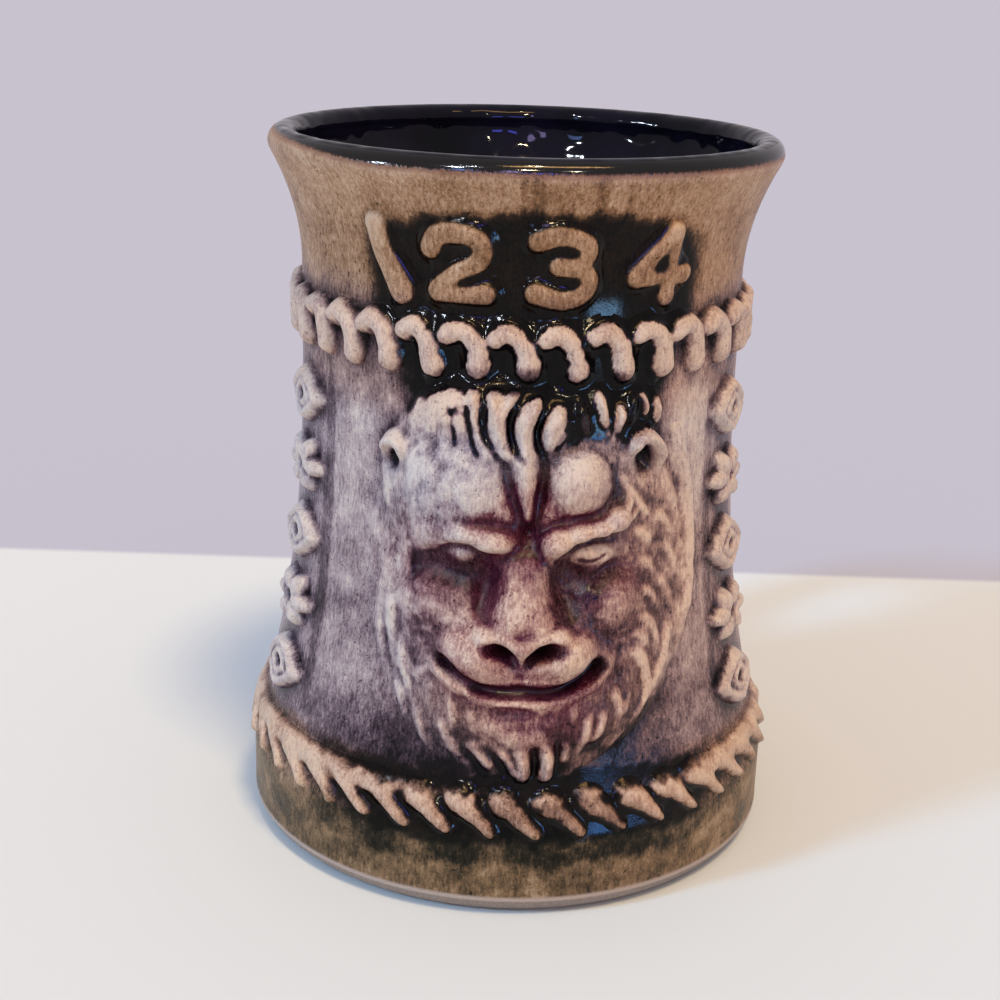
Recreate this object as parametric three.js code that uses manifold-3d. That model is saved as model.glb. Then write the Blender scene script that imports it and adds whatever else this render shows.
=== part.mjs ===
// Half-litre stoneware mug with a sprigged lion's head between two rope bands.
// Millimetres, +Z up. The origin is the centre of the flat foot, and the lion looks along -Y.
// The body is one cast cup. Ropes, lion, numerals, side ornaments and handle are clay pieces
// made in moulds of their own and luted onto it, each with a thin line of slip behind it.

import * as THREE from "three";
import { mergeVertices } from "three/addons/utils/BufferGeometryUtils.js";
import Module from "manifold-3d";

// Body of revolution
const mugHeight = 130;
const footRadius = 50;
const footBandHeight = 14; // straight band under the lower rope
const footChamferWidth = 2.8;
const footChamferHeight = 3.3;
const waistRadius = 39.9;
const footFlarePower = 2.4; // how quickly the foot's flare dies out upwards
const lipRadius = 45.7;
const lipRollRadius = 2.6;
const lipFlarePower = 2;
const wallThickness = 4.2;
const floorThickness = 6;
const floorFillet = 7;
const bodySegments = 60;

// Line of slip between the body and what is luted onto it
const slipGap = 0.35;

// Rope bands: centre heights, half widths and strand counts round the mug
const lowerRopeHeight = 20.2;
const lowerRopeHalfWidth = 4.7;
const lowerRopeProud = 2.3;
const lowerRopeStrands = 40;
const upperRopeDrop = 31.5; // centre below the rim
const upperRopeHalfWidth = 5.5;
const upperRopeProud = 2.5;
const upperRopeStrands = 32;
const ropeGrooveShare = 0.2; // height left in the groove between strands, as a share of the strand's
const stepsPerStrand = 4;

// Space kept between a rope band and what lies beside it on the wall
const bandClearance = 0.6;

// Relief is drawn flat, in millimetres on a cylinder of this radius, and then wrapped
const layoutRadius = 41;

// Lion's head
const maskCentreX = 3;
const maskHalfWidth = 33;
const maskEdgeProud = 1;
const maskProud = 1.4; // of the plain ground round the head, over its edge
const maskBevelShare = 0.35; // share of the mask's radius over which its edge rises
const maskBorderShare = 0.08; // share of the half width over which hair and beard die out at the edge
const maskRootDepth = 8;
const maskColumns = 46;
const maskRows = 46;
const maskCornerCut = 0.45; // 0 is a rectangle, 0.5 is an ellipse

// Numerals over the upper rope
const numeralRowDrop = 17.4; // centre of the row below the rim
const numeralStrokeRadius = 1.95;
const numeralPlaces = [-22.2, -10.2, 6.6, 23.4];

// Ornament columns at both sides, half way between lion and handle
const ornamentCentreX = 48;
const ornamentHalfWidth = 8.5;
const ornamentCount = 5;
const ornamentProud = 2.2;
const ornamentSpacing = 1.2; // bare wall between two ornaments
const ornamentMargin = 2.6; // bare wall between a rope band and the nearest ornament

// Handle behind the mug
const handleReach = 38; // from the waist to the outside of the loop
const handleWidth = 19;
const handleThickness = 10.5;
const handleMargin = 2.5; // bare wall between a rope band and the handle's joint
const handleHalfSides = 7;
const handleSteps = 24;

// Heights that follow from the sizes above
const upperRopeHeight = mugHeight - upperRopeDrop;
const wallBottom = lowerRopeHeight + lowerRopeHalfWidth;
const wallTop = upperRopeHeight - upperRopeHalfWidth;
const neckHeight = upperRopeHeight + upperRopeHalfWidth + 2;
const lipStartAngle = THREE.MathUtils.degToRad(28);
const crestRadius = lipRadius - lipRollRadius;
const lipCentreHeight = mugHeight - lipRollRadius;
const flareEndHeight = lipCentreHeight - lipRollRadius * Math.sin(lipStartAngle);
const flareEndRadius = crestRadius + lipRollRadius * Math.cos(lipStartAngle);

// Finishes, as they look from a step away
const wipedGlaze = new THREE.MeshStandardMaterial({ color: 0xa08f88, roughness: 0.4, metalness: 0 });
const paleRelief = new THREE.MeshStandardMaterial({ color: 0xc4b2a6, roughness: 0.38, metalness: 0 });
const maneRelief = new THREE.MeshStandardMaterial({ color: 0xa58d8a, roughness: 0.38, metalness: 0 });
const darkGlaze = new THREE.MeshStandardMaterial({ color: 0x6e625e, roughness: 0.25, metalness: 0 });

const wasm = await Module();
wasm.setup();

function toSolid(geometry) {
  geometry.deleteAttribute("normal");
  geometry.deleteAttribute("uv");
  const merged = mergeVertices(geometry, 1e-4);
  return new wasm.Manifold(new wasm.Mesh({
    numProp: 3,
    vertProperties: new Float32Array(merged.attributes.position.array),
    triVerts: new Uint32Array(merged.index.array),
  }));
}

function toGeometry(solid) {
  const mesh = solid.getMesh();
  const geometry = new THREE.BufferGeometry();
  geometry.setAttribute("position", new THREE.BufferAttribute(mesh.vertProperties, 3));
  geometry.setIndex(new THREE.BufferAttribute(mesh.triVerts, 1));
  geometry.computeVertexNormals();
  return geometry;
}

// Moves every vertex of a geometry to where place() says
function reshape(geometry, place) {
  const points = geometry.attributes.position;
  for (let i = 0; i < points.count; i += 1) {
    const moved = place(points.getX(i), points.getY(i), points.getZ(i));
    points.setXYZ(i, moved.x, moved.y, moved.z);
  }
  geometry.computeVertexNormals();
  return geometry;
}

function clamp01(value) {
  return Math.min(1, Math.max(0, value));
}

// Outside of the bare wall: a flare to the foot, a straight waist and a flare to the lip
function wallRadius(height) {
  const footShare = clamp01((wallTop - height) / (wallTop - footBandHeight));
  const lipShare = clamp01((height - neckHeight) / (flareEndHeight - neckHeight));
  return waistRadius
    + (footRadius - waistRadius) * footShare ** footFlarePower
    + (flareEndRadius - waistRadius) * lipShare ** lipFlarePower;
}

// A point of the wall, given by its place on the flat drawing and its distance out from the wall
function onWall(x, height, proud) {
  const angle = x / layoutRadius;
  const radius = wallRadius(height) + proud;
  return new THREE.Vector3(radius * Math.sin(angle), -radius * Math.cos(angle), height);
}

function arcPoints(centreX, centreY, radius, fromDegrees, toDegrees, steps) {
  const points = [];
  for (let i = 0; i <= steps; i += 1) {
    const angle = THREE.MathUtils.degToRad(fromDegrees + (toDegrees - fromDegrees) * i / steps);
    points.push(new THREE.Vector2(centreX + radius * Math.cos(angle), centreY + radius * Math.sin(angle)));
  }
  return points;
}

function lathe(points, segments) {
  return new THREE.LatheGeometry(points, segments).rotateX(Math.PI / 2);
}

// Heights of the wall's rings, the same on the body and on the seat behind the luted pieces
const wallRings = 12;
const wallHeights = [];
for (let i = 0; i < wallRings; i += 1) {
  wallHeights.push(footBandHeight + (flareEndHeight - footBandHeight) * i / wallRings);
}

// Cup with a flat foot, a chamfered bottom edge, a rolled lip and an even wall
function bodyGeometry() {
  const innerRows = 9;
  const lipStart = THREE.MathUtils.radToDeg(lipStartAngle);
  const points = [
    new THREE.Vector2(0, 0),
    new THREE.Vector2(footRadius - footChamferWidth, 0),
    new THREE.Vector2(footRadius - footChamferWidth * 0.3, footChamferHeight * 0.35),
    new THREE.Vector2(footRadius, footChamferHeight),
  ];
  for (const height of wallHeights) {
    points.push(new THREE.Vector2(wallRadius(height), height));
  }
  points.push(...arcPoints(crestRadius, lipCentreHeight, lipRollRadius, -lipStart, 180 + lipStart, 8));
  const innerTop = flareEndHeight - lipRollRadius;
  const innerBottom = floorThickness + floorFillet;
  for (let i = 0; i < innerRows; i += 1) {
    const height = innerTop + (innerBottom - innerTop) * i / innerRows;
    points.push(new THREE.Vector2(wallRadius(height) - wallThickness, height));
  }
  const filletCentre = wallRadius(innerBottom) - wallThickness - floorFillet;
  points.push(...arcPoints(filletCentre, innerBottom, floorFillet, 0, -90, 3));
  points.push(new THREE.Vector2(0, floorThickness));
  return lathe(points, bodySegments);
}

// Everything up to the slip line behind the luted pieces
function seatSolid() {
  const points = [new THREE.Vector2(0, 0), new THREE.Vector2(footRadius + slipGap, 0)];
  for (const height of [...wallHeights, flareEndHeight]) {
    points.push(new THREE.Vector2(wallRadius(height) + slipGap, height));
  }
  points.push(new THREE.Vector2(0, flareEndHeight));
  return toSolid(lathe(points, bodySegments));
}

const seat = seatSolid();

function cutToSeat(solid) {
  return toGeometry(solid.subtract(seat));
}

// Band of twisted strands: each strand leans across the band and turns along it at both edges.
// The mesh leans with the strands, so that their crests and grooves run along its edges.
const strandLean = 0.55; // in strand pitches

function ropeGeometry(centre, halfWidth, proud, strands) {
  const frontPlaces = [-1, -0.78, -0.4, 0, 0.4, 0.78, 1];
  const backPlaces = [0.5, 0, -0.5];
  const frontMark = 2; // radius that tells the front of the section from its back
  const section = [
    ...frontPlaces.map((place) => new THREE.Vector2(frontMark, place)),
    ...backPlaces.map((place) => new THREE.Vector2(frontMark / 2, place)),
  ];
  section.push(section[0].clone());
  const ring = new THREE.LatheGeometry(section, strands * stepsPerStrand).rotateX(Math.PI / 2);
  return reshape(ring, (x, y, place) => {
    const turn = Math.atan2(x, -y) * strands / (2 * Math.PI);
    const angle = (turn - strandLean * Math.asin(THREE.MathUtils.clamp(place, -1, 1))) * 2 * Math.PI / strands;
    const across = clamp01(1 - place * place);
    const strand = Math.cos(Math.PI * (turn - Math.round(turn))) ** 2;
    const isFront = Math.hypot(x, y) > 0.75 * frontMark;
    const rise = isFront ? proud * Math.sqrt(across) * (ropeGrooveShare + (1 - ropeGrooveShare) * strand) : 0;
    const height = centre + halfWidth * place;
    const radius = wallRadius(height) + slipGap + rise;
    return new THREE.Vector3(radius * Math.sin(angle), -radius * Math.cos(angle), height);
  });
}

// Share of a round form at a point: 1 in its middle and 0 from its edge outwards
function dome(at, size, power, turn = 0) {
  const angle = THREE.MathUtils.degToRad(turn);
  return (x, z) => {
    const across = ((x - at[0]) * Math.cos(angle) + (z - at[1]) * Math.sin(angle)) / size[0];
    const up = ((z - at[1]) * Math.cos(angle) - (x - at[0]) * Math.sin(angle)) / size[1];
    return clamp01(1 - across * across - up * up) ** power;
  };
}

// Share of a long form at a point: 1 on its path and 0 from its half width outwards.
// The half width runs from the path's start to its end, and the form dies out over the faded shares.
function stroke(path, startWidth, endWidth, power, fadeIn = 0, fadeOut = 0) {
  return (x, z) => {
    let share = 0;
    for (let i = 1; i < path.length; i += 1) {
      const [ax, az] = path[i - 1];
      const [bx, bz] = path[i];
      const length = (bx - ax) ** 2 + (bz - az) ** 2;
      const along = clamp01(((x - ax) * (bx - ax) + (z - az) * (bz - az)) / length);
      const distance = Math.hypot(x - ax - along * (bx - ax), z - az - along * (bz - az));
      const place = (i - 1 + along) / (path.length - 1);
      const width = startWidth + (endWidth - startWidth) * place;
      const strength = (fadeIn > 0 ? clamp01(place / fadeIn) : 1) * (fadeOut > 0 ? clamp01((1 - place) / fadeOut) : 1);
      share = Math.max(share, strength * clamp01(1 - (distance / width) ** 2) ** power);
    }
    return share;
  };
}

// Higher of two surfaces, with a soft crease between them
function blendUp(a, b, softness) {
  const share = clamp01(0.5 + 0.5 * (a - b) / softness);
  return b + (a - b) * share + softness * share * (1 - share);
}

// A form that stands out of what is there, from the height low at its edge to top in its middle
function lift(form, low, top, softness) {
  return (rise, x, z) => {
    const share = form(x, z);
    return share > 0 ? blendUp(rise, low + (top - low) * share, softness) : rise;
  };
}

// A form that is pressed in, or with a negative depth laid on
function cut(form, depth) {
  return (rise, x, z) => rise - depth * form(x, z);
}

// The head as it is drawn, in millimetres on the flat layout, worked from the back to the front
const drawnMiddle = [3, 59];
const drawnHalfHeight = 33.4;
const headForms = [
  cut(dome([2.5, 56], [27, 37], 1.4), -4), // whole head
  cut(dome([1.5, 34], [19, 11], 1.6), -1.2), // beard
  lift(dome([-9, 75], [13, 14], 0.7), 0, 6.4, 1.6), // forehead, left and right
  lift(dome([10.6, 75.6], [7.2, 7.2], 0.6), 0.5, 7.2, 0.8),
  lift(stroke([[-19, 67], [-13.5, 68.6], [-8, 69], [-3.4, 67.6]], 3.2, 3.4, 0.6, 0.35), 1.5, 7.4, 1.6), // brows
  lift(stroke([[6.2, 67.3], [9, 68.3], [12.5, 68.9], [19, 68.4]], 2.9, 2.2, 0.6, 0, 0.25), 1.5, 7.4, 0.8),
  cut(stroke([[-2.4, 81.5], [-0.2, 72.2], [1.6, 69]], 2.2, 2.4, 1.4, 0.2), 1.9), // furrows over the nose
  cut(stroke([[4.8, 80.5], [4.4, 72.5], [3.2, 69]], 2, 2.4, 1.4, 0.2), 2),
  cut(dome([2.6, 67.6], [4.2, 5.4], 1.6), 2.4),
  cut(dome([-10.6, 61.4], [9.4, 5.6], 1.3), 3.2), // left eye socket
  cut(dome([-5, 59], [5.4, 7.6], 1.6), 2.6),
  cut(dome([13, 61.2], [9.4, 5.4], 1.3), 2.8), // right eye socket
  cut(dome([9.2, 58.6], [5.2, 7.4], 1.6), 2.6),
  lift(dome([-9.2, 63.6], [4.8, 2.9], 0.6), 1, 4.8, 0.9), // eyeballs
  lift(dome([13.4, 63.9], [4.2, 2.9], 0.6), 1, 5.3, 0.5),
  cut(dome([-14.5, 57], [7, 7], 1.8), -2.2), // cheekbones
  cut(dome([17.6, 56.6], [6, 6.5], 1.8), -2.8),
  lift(stroke([[2.6, 66.5], [2.3, 62], [2, 57], [1.8, 50]], 2.6, 7.2, 0.6), 1, 7.6, 1), // nose and its tip
  lift(dome([1.9, 50.2], [6.4, 4.2], 0.6), 3, 9.4, 1),
  lift(dome([-5.4, 46.6], [8.8, 5.8], 0.6, -15), 1, 8.6, 0.7), // muzzle, left and right
  lift(dome([8.4, 47.2], [7.8, 6.2], 0.6, 17), 1, 8.8, 0.7),
  cut(stroke([[-3.8, 47.6], [-0.4, 45]], 1.9, 1.7, 0.9), 2.8), // nostrils
  cut(stroke([[8.8, 48.4], [2.8, 45.2]], 1.6, 1.9, 0.9), 2.8),
  lift(stroke([[-12.8, 46], [-8.5, 41.4], [1.5, 39], [10, 40.2], [15.2, 44.4]], 2, 2, 0.7, 0.15, 0.15), 1, 6.2, 1.4), // lip
  cut(stroke([[-11.6, 45.4], [-6, 42.6], [1.5, 41.4], [9.8, 42.8], [14, 45.4]], 1.5, 1.5, 1.2, 0.1, 0.1), 1.9), // mouth
  cut(dome([0.6, 36], [6.5, 2.6], 1.3), 1.5),
  lift(dome([1, 33], [5.8, 4], 0.6), 1, 5.6, 1), // chin and the two ends of the beard
  lift(stroke([[-0.3, 32], [2.1, 26.6]], 2.6, 2, 0.6), 1, 4.6, 0.6),
  lift(stroke([[7, 34], [7.2, 27.4]], 2.4, 2, 0.6), 1, 4.6, 0.6),
  lift(stroke([[-26, 80.4], [-24.2, 82.9], [-20.4, 80.4]], 2.3, 2.3, 0.6), 0.5, 4.2, 0.8), // ears and their hollows
  cut(dome([-22.3, 77.8], [3.6, 3.4], 1.2), 1.8),
  lift(stroke([[19.8, 79.4], [22.4, 81.8], [25.6, 80.6], [26, 76.6]], 2.4, 2, 0.6), 0.5, 4.6, 0.8),
  cut(dome([22.6, 77.4], [3.6, 3.2], 1.2), 1.8),
  lift(stroke([[29, 86], [34, 68], [34.2, 58], [29.6, 41]], 3, 3, 0.7, 0.25, 0.25), 0, 2.8, 1), // edge of the mane
];
// Locks of hair as [start, end]: over the forehead, and then the beard on both sides
const foreheadLocks = [
  [[-15.6, 89], [-15.2, 80.4]],
  [[-11.8, 90.6], [-10.8, 81.6]],
  [[-7.9, 91.6], [-4, 81.6]],
  [[-3.8, 91.4], [-0.6, 81]],
  [[2.6, 90.6], [2, 81.6]],
  [[7.4, 88.8], [5.2, 82.8]],
  [[12, 89.6], [15.2, 86]],
  [[19, 88.6], [18.2, 84]],
];
const beardLocks = [
  [[-19.4, 41], [-12, 27.6]],
  [[-14.6, 38], [-7, 27.6]],
  [[-9.6, 36], [-2.6, 27]],
  [[12.6, 37], [10, 28.6]],
  [[17.6, 38.6], [14, 29.6]],
  [[22.6, 39.6], [18.2, 30]],
  [[26.6, 45], [24, 36]],
];
const lockHalfWidth = 1.9;
const foreheadLockTop = 5.4;
const beardLockRise = 1.2;
for (const lock of foreheadLocks) {
  headForms.push(lift(stroke(lock, lockHalfWidth, lockHalfWidth, 0.6), 0.8, foreheadLockTop, 0.5));
}
for (const lock of beardLocks) {
  headForms.push(cut(stroke(lock, lockHalfWidth, lockHalfWidth, 0.8), -beardLockRise));
}

function lionRelief(x, z) {
  const across = (x - drawnMiddle[0]) / maskHalfWidth;
  const up = (z - drawnMiddle[1]) / drawnHalfHeight;
  const inside = clamp01((1 - Math.hypot(across, up)) / maskBevelShare);
  let rise = maskEdgeProud + maskProud * inside * inside * (3 - 2 * inside);
  for (const form of headForms) {
    rise = form(rise, x, z);
  }
  return Math.max(maskEdgeProud, rise);
}

// Relief block laid over the wall between the ropes, cut away where the wall is
function lionGeometry() {
  const halfHeight = (wallTop - wallBottom) / 2 - bandClearance;
  const centre = (wallTop + wallBottom) / 2;
  const blank = new THREE.BoxGeometry(2, 2, 2, maskColumns, maskRows, 1);
  reshape(blank, (x, y, z) => {
    const across = x * Math.sqrt(1 - maskCornerCut * y * y);
    const up = y * Math.sqrt(1 - maskCornerCut * x * x);
    const drawnX = drawnMiddle[0] + across * maskHalfWidth;
    const border = clamp01((1 - Math.max(Math.abs(x), Math.abs(y))) / maskBorderShare);
    const relief = lionRelief(drawnX, drawnMiddle[1] + up * drawnHalfHeight);
    const front = maskEdgeProud + (relief - maskEdgeProud) * border;
    const height = centre + up * halfHeight;
    return onWall(maskCentreX + across * maskHalfWidth, height, z > 0 ? front : -maskRootDepth);
  });
  return cutToSeat(toSolid(blank));
}

// Strokes of each numeral, from its own centre
const numeralStrokes = [
  [[[-2.3, 5.2], [-1.5, 1.2], [0.2, -2], [2.3, -5.2]]],
  [
    [[-4.9, 2.6], [-3.9, 4.5], [0, 5], [3.8, 3.9], [3.7, 1.2], [0.5, -1.6], [-4.3, -4.6]],
    [[-4.3, -4.6], [4.9, -4.6]],
  ],
  [
    [[-4.2, 4.4], [-0.5, 5.3], [3.5, 3.8], [3, 1.4], [-0.4, 0.4]],
    [[-0.4, 0.4], [3.8, -1.1], [3.9, -3.7], [0.2, -5.2], [-4.4, -4]],
  ],
  [
    [[1.8, 5.2], [-4.6, -1.6]],
    [[-4.6, -1.6], [5.2, -1.6]],
    [[1.8, 5.2], [1.8, -5.2]],
  ],
];

// Half-round stroke of clay with round ends, lying on the wall
function strokeSolid(flatPoints) {
  const halfSides = 4;
  const places = flatPoints.map(([x, z]) => onWall(x, z, slipGap));
  const route = new THREE.CatmullRomCurve3(places);
  const section = new THREE.Shape();
  section.absarc(0, 0, numeralStrokeRadius, 0, 2 * Math.PI, false);
  const tube = new THREE.ExtrudeGeometry(section, {
    steps: 2 * flatPoints.length,
    curveSegments: halfSides,
    extrudePath: route,
  });
  let stroke = toSolid(tube);
  for (const end of [places[0], places[places.length - 1]]) {
    const ball = new THREE.SphereGeometry(numeralStrokeRadius, 2 * halfSides, 6).translate(end.x, end.y, end.z);
    stroke = stroke.add(toSolid(ball));
  }
  return stroke;
}

function numeralGeometry(index) {
  const centre = mugHeight - numeralRowDrop;
  let numeral = null;
  for (const stroke of numeralStrokes[index]) {
    const solid = strokeSolid(stroke.map(([x, z]) => [numeralPlaces[index] + x, centre + z]));
    numeral = numeral === null ? solid : numeral.add(solid);
  }
  return cutToSeat(numeral);
}

// Lozenge with a rim and a boss in its middle: a power of 1 has straight sides, 2 is round
const lozengePower = 1.25;

function lozengeOutline(angle) {
  return 1 / (Math.abs(Math.cos(angle)) ** lozengePower + Math.abs(Math.sin(angle)) ** lozengePower) ** (1 / lozengePower);
}

// Flower of round petals
const petalCount = 6;
const petalDepth = 0.14;

function rosetteOutline(angle) {
  return 1 - petalDepth + petalDepth * Math.cos(petalCount * angle);
}

function ornamentGeometry(centreX, centreZ, halfHeight, outline, spokes) {
  const dishShare = 0.45; // height left between boss and rim
  const profile = [
    new THREE.Vector2(0, ornamentProud),
    new THREE.Vector2(0.22, ornamentProud * 0.85),
    new THREE.Vector2(0.4, ornamentProud * dishShare),
    new THREE.Vector2(0.6, ornamentProud * dishShare),
    new THREE.Vector2(0.78, ornamentProud * 0.9),
    new THREE.Vector2(0.94, ornamentProud * 0.6),
    new THREE.Vector2(1, 0),
    new THREE.Vector2(0, 0),
  ];
  const disc = new THREE.LatheGeometry(profile.reverse(), spokes);
  return reshape(disc, (x, proud, z) => {
    const share = Math.hypot(x, z) * outline(Math.atan2(z, x));
    const angle = Math.atan2(z, x);
    const across = ornamentHalfWidth * share * Math.cos(angle);
    const up = halfHeight * share * Math.sin(angle);
    return onWall(centreX + across, centreZ - up, slipGap + proud);
  });
}

// Ear-shaped loop whose two ends stand on the wall between the rope bands
function handleGeometry() {
  const inside = waistRadius - handleThickness;
  const outermost = waistRadius + handleReach - handleThickness / 2;
  const top = wallTop - handleMargin - handleThickness / 2;
  const bottom = wallBottom + handleMargin + handleThickness / 2;
  const rise = top - bottom;
  const route = new THREE.CatmullRomCurve3([
    new THREE.Vector3(0, inside, top - 1),
    new THREE.Vector3(0, waistRadius + 6, top),
    new THREE.Vector3(0, outermost - 9, top - 1.5),
    new THREE.Vector3(0, outermost, top - rise * 0.3),
    new THREE.Vector3(0, outermost - 4, bottom + rise * 0.32),
    new THREE.Vector3(0, outermost - 18, bottom + rise * 0.06),
    new THREE.Vector3(0, waistRadius + 4, bottom),
    new THREE.Vector3(0, inside, bottom + 2),
  ]);
  const section = new THREE.Shape();
  section.absellipse(0, 0, handleWidth / 2, handleThickness / 2, 0, 2 * Math.PI, false, 0);
  const loop = new THREE.ExtrudeGeometry(section, {
    steps: handleSteps,
    curveSegments: handleHalfSides,
    extrudePath: route,
  });
  return cutToSeat(toSolid(loop));
}

const mug = new THREE.Group();
mug.name = "lion_head_mug";

function addPiece(name, geometry, material) {
  const piece = new THREE.Mesh(geometry, material);
  piece.name = name;
  mug.add(piece);
}

addPiece("body", bodyGeometry(), wipedGlaze);
addPiece("handle", handleGeometry(), wipedGlaze);
addPiece(
  "upper_rope",
  ropeGeometry(upperRopeHeight, upperRopeHalfWidth, upperRopeProud, upperRopeStrands),
  paleRelief,
);
addPiece(
  "lower_rope",
  ropeGeometry(lowerRopeHeight, lowerRopeHalfWidth, lowerRopeProud, lowerRopeStrands),
  paleRelief,
);
addPiece("lion_mask", lionGeometry(), maneRelief);

for (let i = 0; i < numeralPlaces.length; i += 1) {
  addPiece(`numeral_${i + 1}`, numeralGeometry(i), paleRelief);
}

const ornamentPitch = (wallTop - wallBottom - 2 * ornamentMargin + ornamentSpacing) / ornamentCount;
for (const [side, sign] of [["left", -1], ["right", 1]]) {
  for (let i = 0; i < ornamentCount; i += 1) {
    const centreZ = wallTop - ornamentMargin - (i + 0.5) * ornamentPitch + ornamentSpacing / 2;
    const isLozenge = i % 2 === 0;
    const geometry = ornamentGeometry(
      sign * ornamentCentreX,
      centreZ,
      (ornamentPitch - ornamentSpacing) / 2,
      isLozenge ? lozengeOutline : rosetteOutline,
      isLozenge ? 12 : 4 * petalCount,
    );
    addPiece(`${side}_ornament_${i + 1}`, geometry, darkGlaze);
  }
}

export default mug;
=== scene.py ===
# Looks of the lion head mug: brown stoneware whose dark glaze was wiped off the raised clay.
# The relief is worked out once as a map of clay heights over the bare wall. Every luted piece takes
# its surface from that map, and the glaze lies where the map is low, as it does after wiping.
import math

import bmesh
import bpy
import numpy as np
from mathutils import Matrix, Vector


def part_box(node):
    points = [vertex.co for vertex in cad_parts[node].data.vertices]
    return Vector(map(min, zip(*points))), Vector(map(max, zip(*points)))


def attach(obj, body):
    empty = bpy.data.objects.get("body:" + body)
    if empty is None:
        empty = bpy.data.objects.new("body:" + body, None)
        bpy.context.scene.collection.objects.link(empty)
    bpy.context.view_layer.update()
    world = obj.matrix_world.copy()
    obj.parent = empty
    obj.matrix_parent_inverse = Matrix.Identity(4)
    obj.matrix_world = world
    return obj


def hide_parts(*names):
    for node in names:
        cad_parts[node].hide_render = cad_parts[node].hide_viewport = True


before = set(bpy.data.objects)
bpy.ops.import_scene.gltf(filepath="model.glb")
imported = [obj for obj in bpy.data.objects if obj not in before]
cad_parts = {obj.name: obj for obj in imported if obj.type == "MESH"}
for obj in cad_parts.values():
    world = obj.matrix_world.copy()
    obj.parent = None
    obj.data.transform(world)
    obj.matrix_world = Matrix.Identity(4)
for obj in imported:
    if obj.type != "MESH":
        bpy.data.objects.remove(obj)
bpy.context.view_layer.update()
print("frame loaded:", len(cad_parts), "nodes")

mm = 0.001


def linear(hexColour):
    channels = [int(hexColour[i:i + 2], 16) / 255 for i in (1, 3, 5)]
    return tuple(c / 12.92 if c < 0.04045 else ((c + 0.055) / 1.055) ** 2.4 for c in channels) + (1.0,)


def smooth(low, high, value):
    share = np.clip((value - low) / (high - low), 0, 1)
    return share * share * (3 - 2 * share)


# Camera, as it stood for the photograph
shot = {
    "place": (0, -297.94 * mm, 161.0 * mm),
    "turnLeft": -0.0092,   # radians
    "lookDown": 0.327,
    "roll": 0.0302,
    "lens": 59.15,
    "sensor": 36,
}


def makeCamera():
    turn, down, roll = shot["turnLeft"], shot["lookDown"], shot["roll"]
    forward = Vector((math.sin(turn) * math.cos(down), math.cos(turn) * math.cos(down), -math.sin(down)))
    right = Vector((math.cos(turn), -math.sin(turn), 0))
    up = right.cross(forward)
    rolledRight = math.cos(roll) * right + math.sin(roll) * up
    rolledUp = math.cos(roll) * up - math.sin(roll) * right
    camera = bpy.data.objects.new("camera", bpy.data.cameras.new("camera"))
    bpy.context.scene.collection.objects.link(camera)
    turned = Matrix((rolledRight, rolledUp, -forward)).transposed().to_4x4()
    camera.matrix_world = Matrix.Translation(shot["place"]) @ turned
    camera.data.sensor_width = shot["sensor"]
    camera.data.lens = shot["lens"]
    camera.data.clip_start = 0.01
    bpy.context.scene.camera = camera


makeCamera()
print("camera placed")

# Body of revolution, in millimetres
cup = {
    "height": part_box("body")[1].z / mm,
    "footRadius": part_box("body")[1].x / mm,
    "greatestRadius": 51.1,
    "footBand": 14,
    "chamferWidth": 2.8,
    "chamferHeight": 3.3,
    "waistRadius": 39.9,
    "footPower": 2.4,
    "flareTop": 93,      # the foot's flare has died out here
    "neck": 106,         # the lip's flare starts here
    "lipRadius": 45.7,
    "roll": 2.6,
    "wall": 4.2,
    "floor": 6,
    "fillet": 7,
    "steps": 360,
    "rowHeight": 0.9,
}
lipAngle = math.radians(28)
crestRadius = cup["lipRadius"] - cup["roll"]
lipCentre = cup["height"] - cup["roll"]
flareEnd = lipCentre - cup["roll"] * math.sin(lipAngle)
flareEndRadius = crestRadius + cup["roll"] * math.cos(lipAngle)


def wallRadius(z):
    foot = np.clip((cup["flareTop"] - z) / (cup["flareTop"] - cup["footBand"]), 0, 1)
    lip = np.clip((z - cup["neck"]) / (flareEnd - cup["neck"]), 0, 1)
    flare = (cup["footRadius"] - cup["waistRadius"]) * foot ** cup["footPower"]
    return cup["waistRadius"] + flare + (flareEndRadius - cup["waistRadius"]) * lip ** 2


# Map of clay over the bare wall: columns run round the mug, rows upwards, both in millimetres
chart = {
    "radius": 41,     # the drawing is flat on a cylinder of this radius
    "low": 2.5,
    "high": 122.5,
    "columns": 1032,
    "step": 0.25,
}
around = 2 * math.pi * chart["radius"]
columnStep = around / chart["columns"]
chartX = (np.arange(chart["columns"]) - chart["columns"] / 2) * columnStep
chartZ = np.arange(chart["low"], chart["high"], chart["step"])
clay = np.zeros((len(chartZ), len(chartX)))


def window(xLow, xHigh, zLow, zHigh):
    left, right = (int((x - chartX[0]) / columnStep) for x in (xLow, xHigh))
    low, high = (int((z - chartZ[0]) / chart["step"]) for z in (zLow, zHigh))
    return slice(max(0, low), max(0, high + 2)), slice(max(0, left), right + 2)


def dome(x, z, halfWidth, halfHeight, power=1.0, turn=0):
    reach = max(halfWidth, halfHeight)
    rows, columns = window(x - reach, x + reach, z - reach, z + reach)
    gridX, gridZ = np.meshgrid(chartX[columns] - x, chartZ[rows] - z)
    c, s = math.cos(math.radians(turn)), math.sin(math.radians(turn))
    across = (c * gridX + s * gridZ) / halfWidth
    upward = (c * gridZ - s * gridX) / halfHeight
    return rows, columns, np.clip(1 - across ** 2 - upward ** 2, 0, 1) ** power


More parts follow.
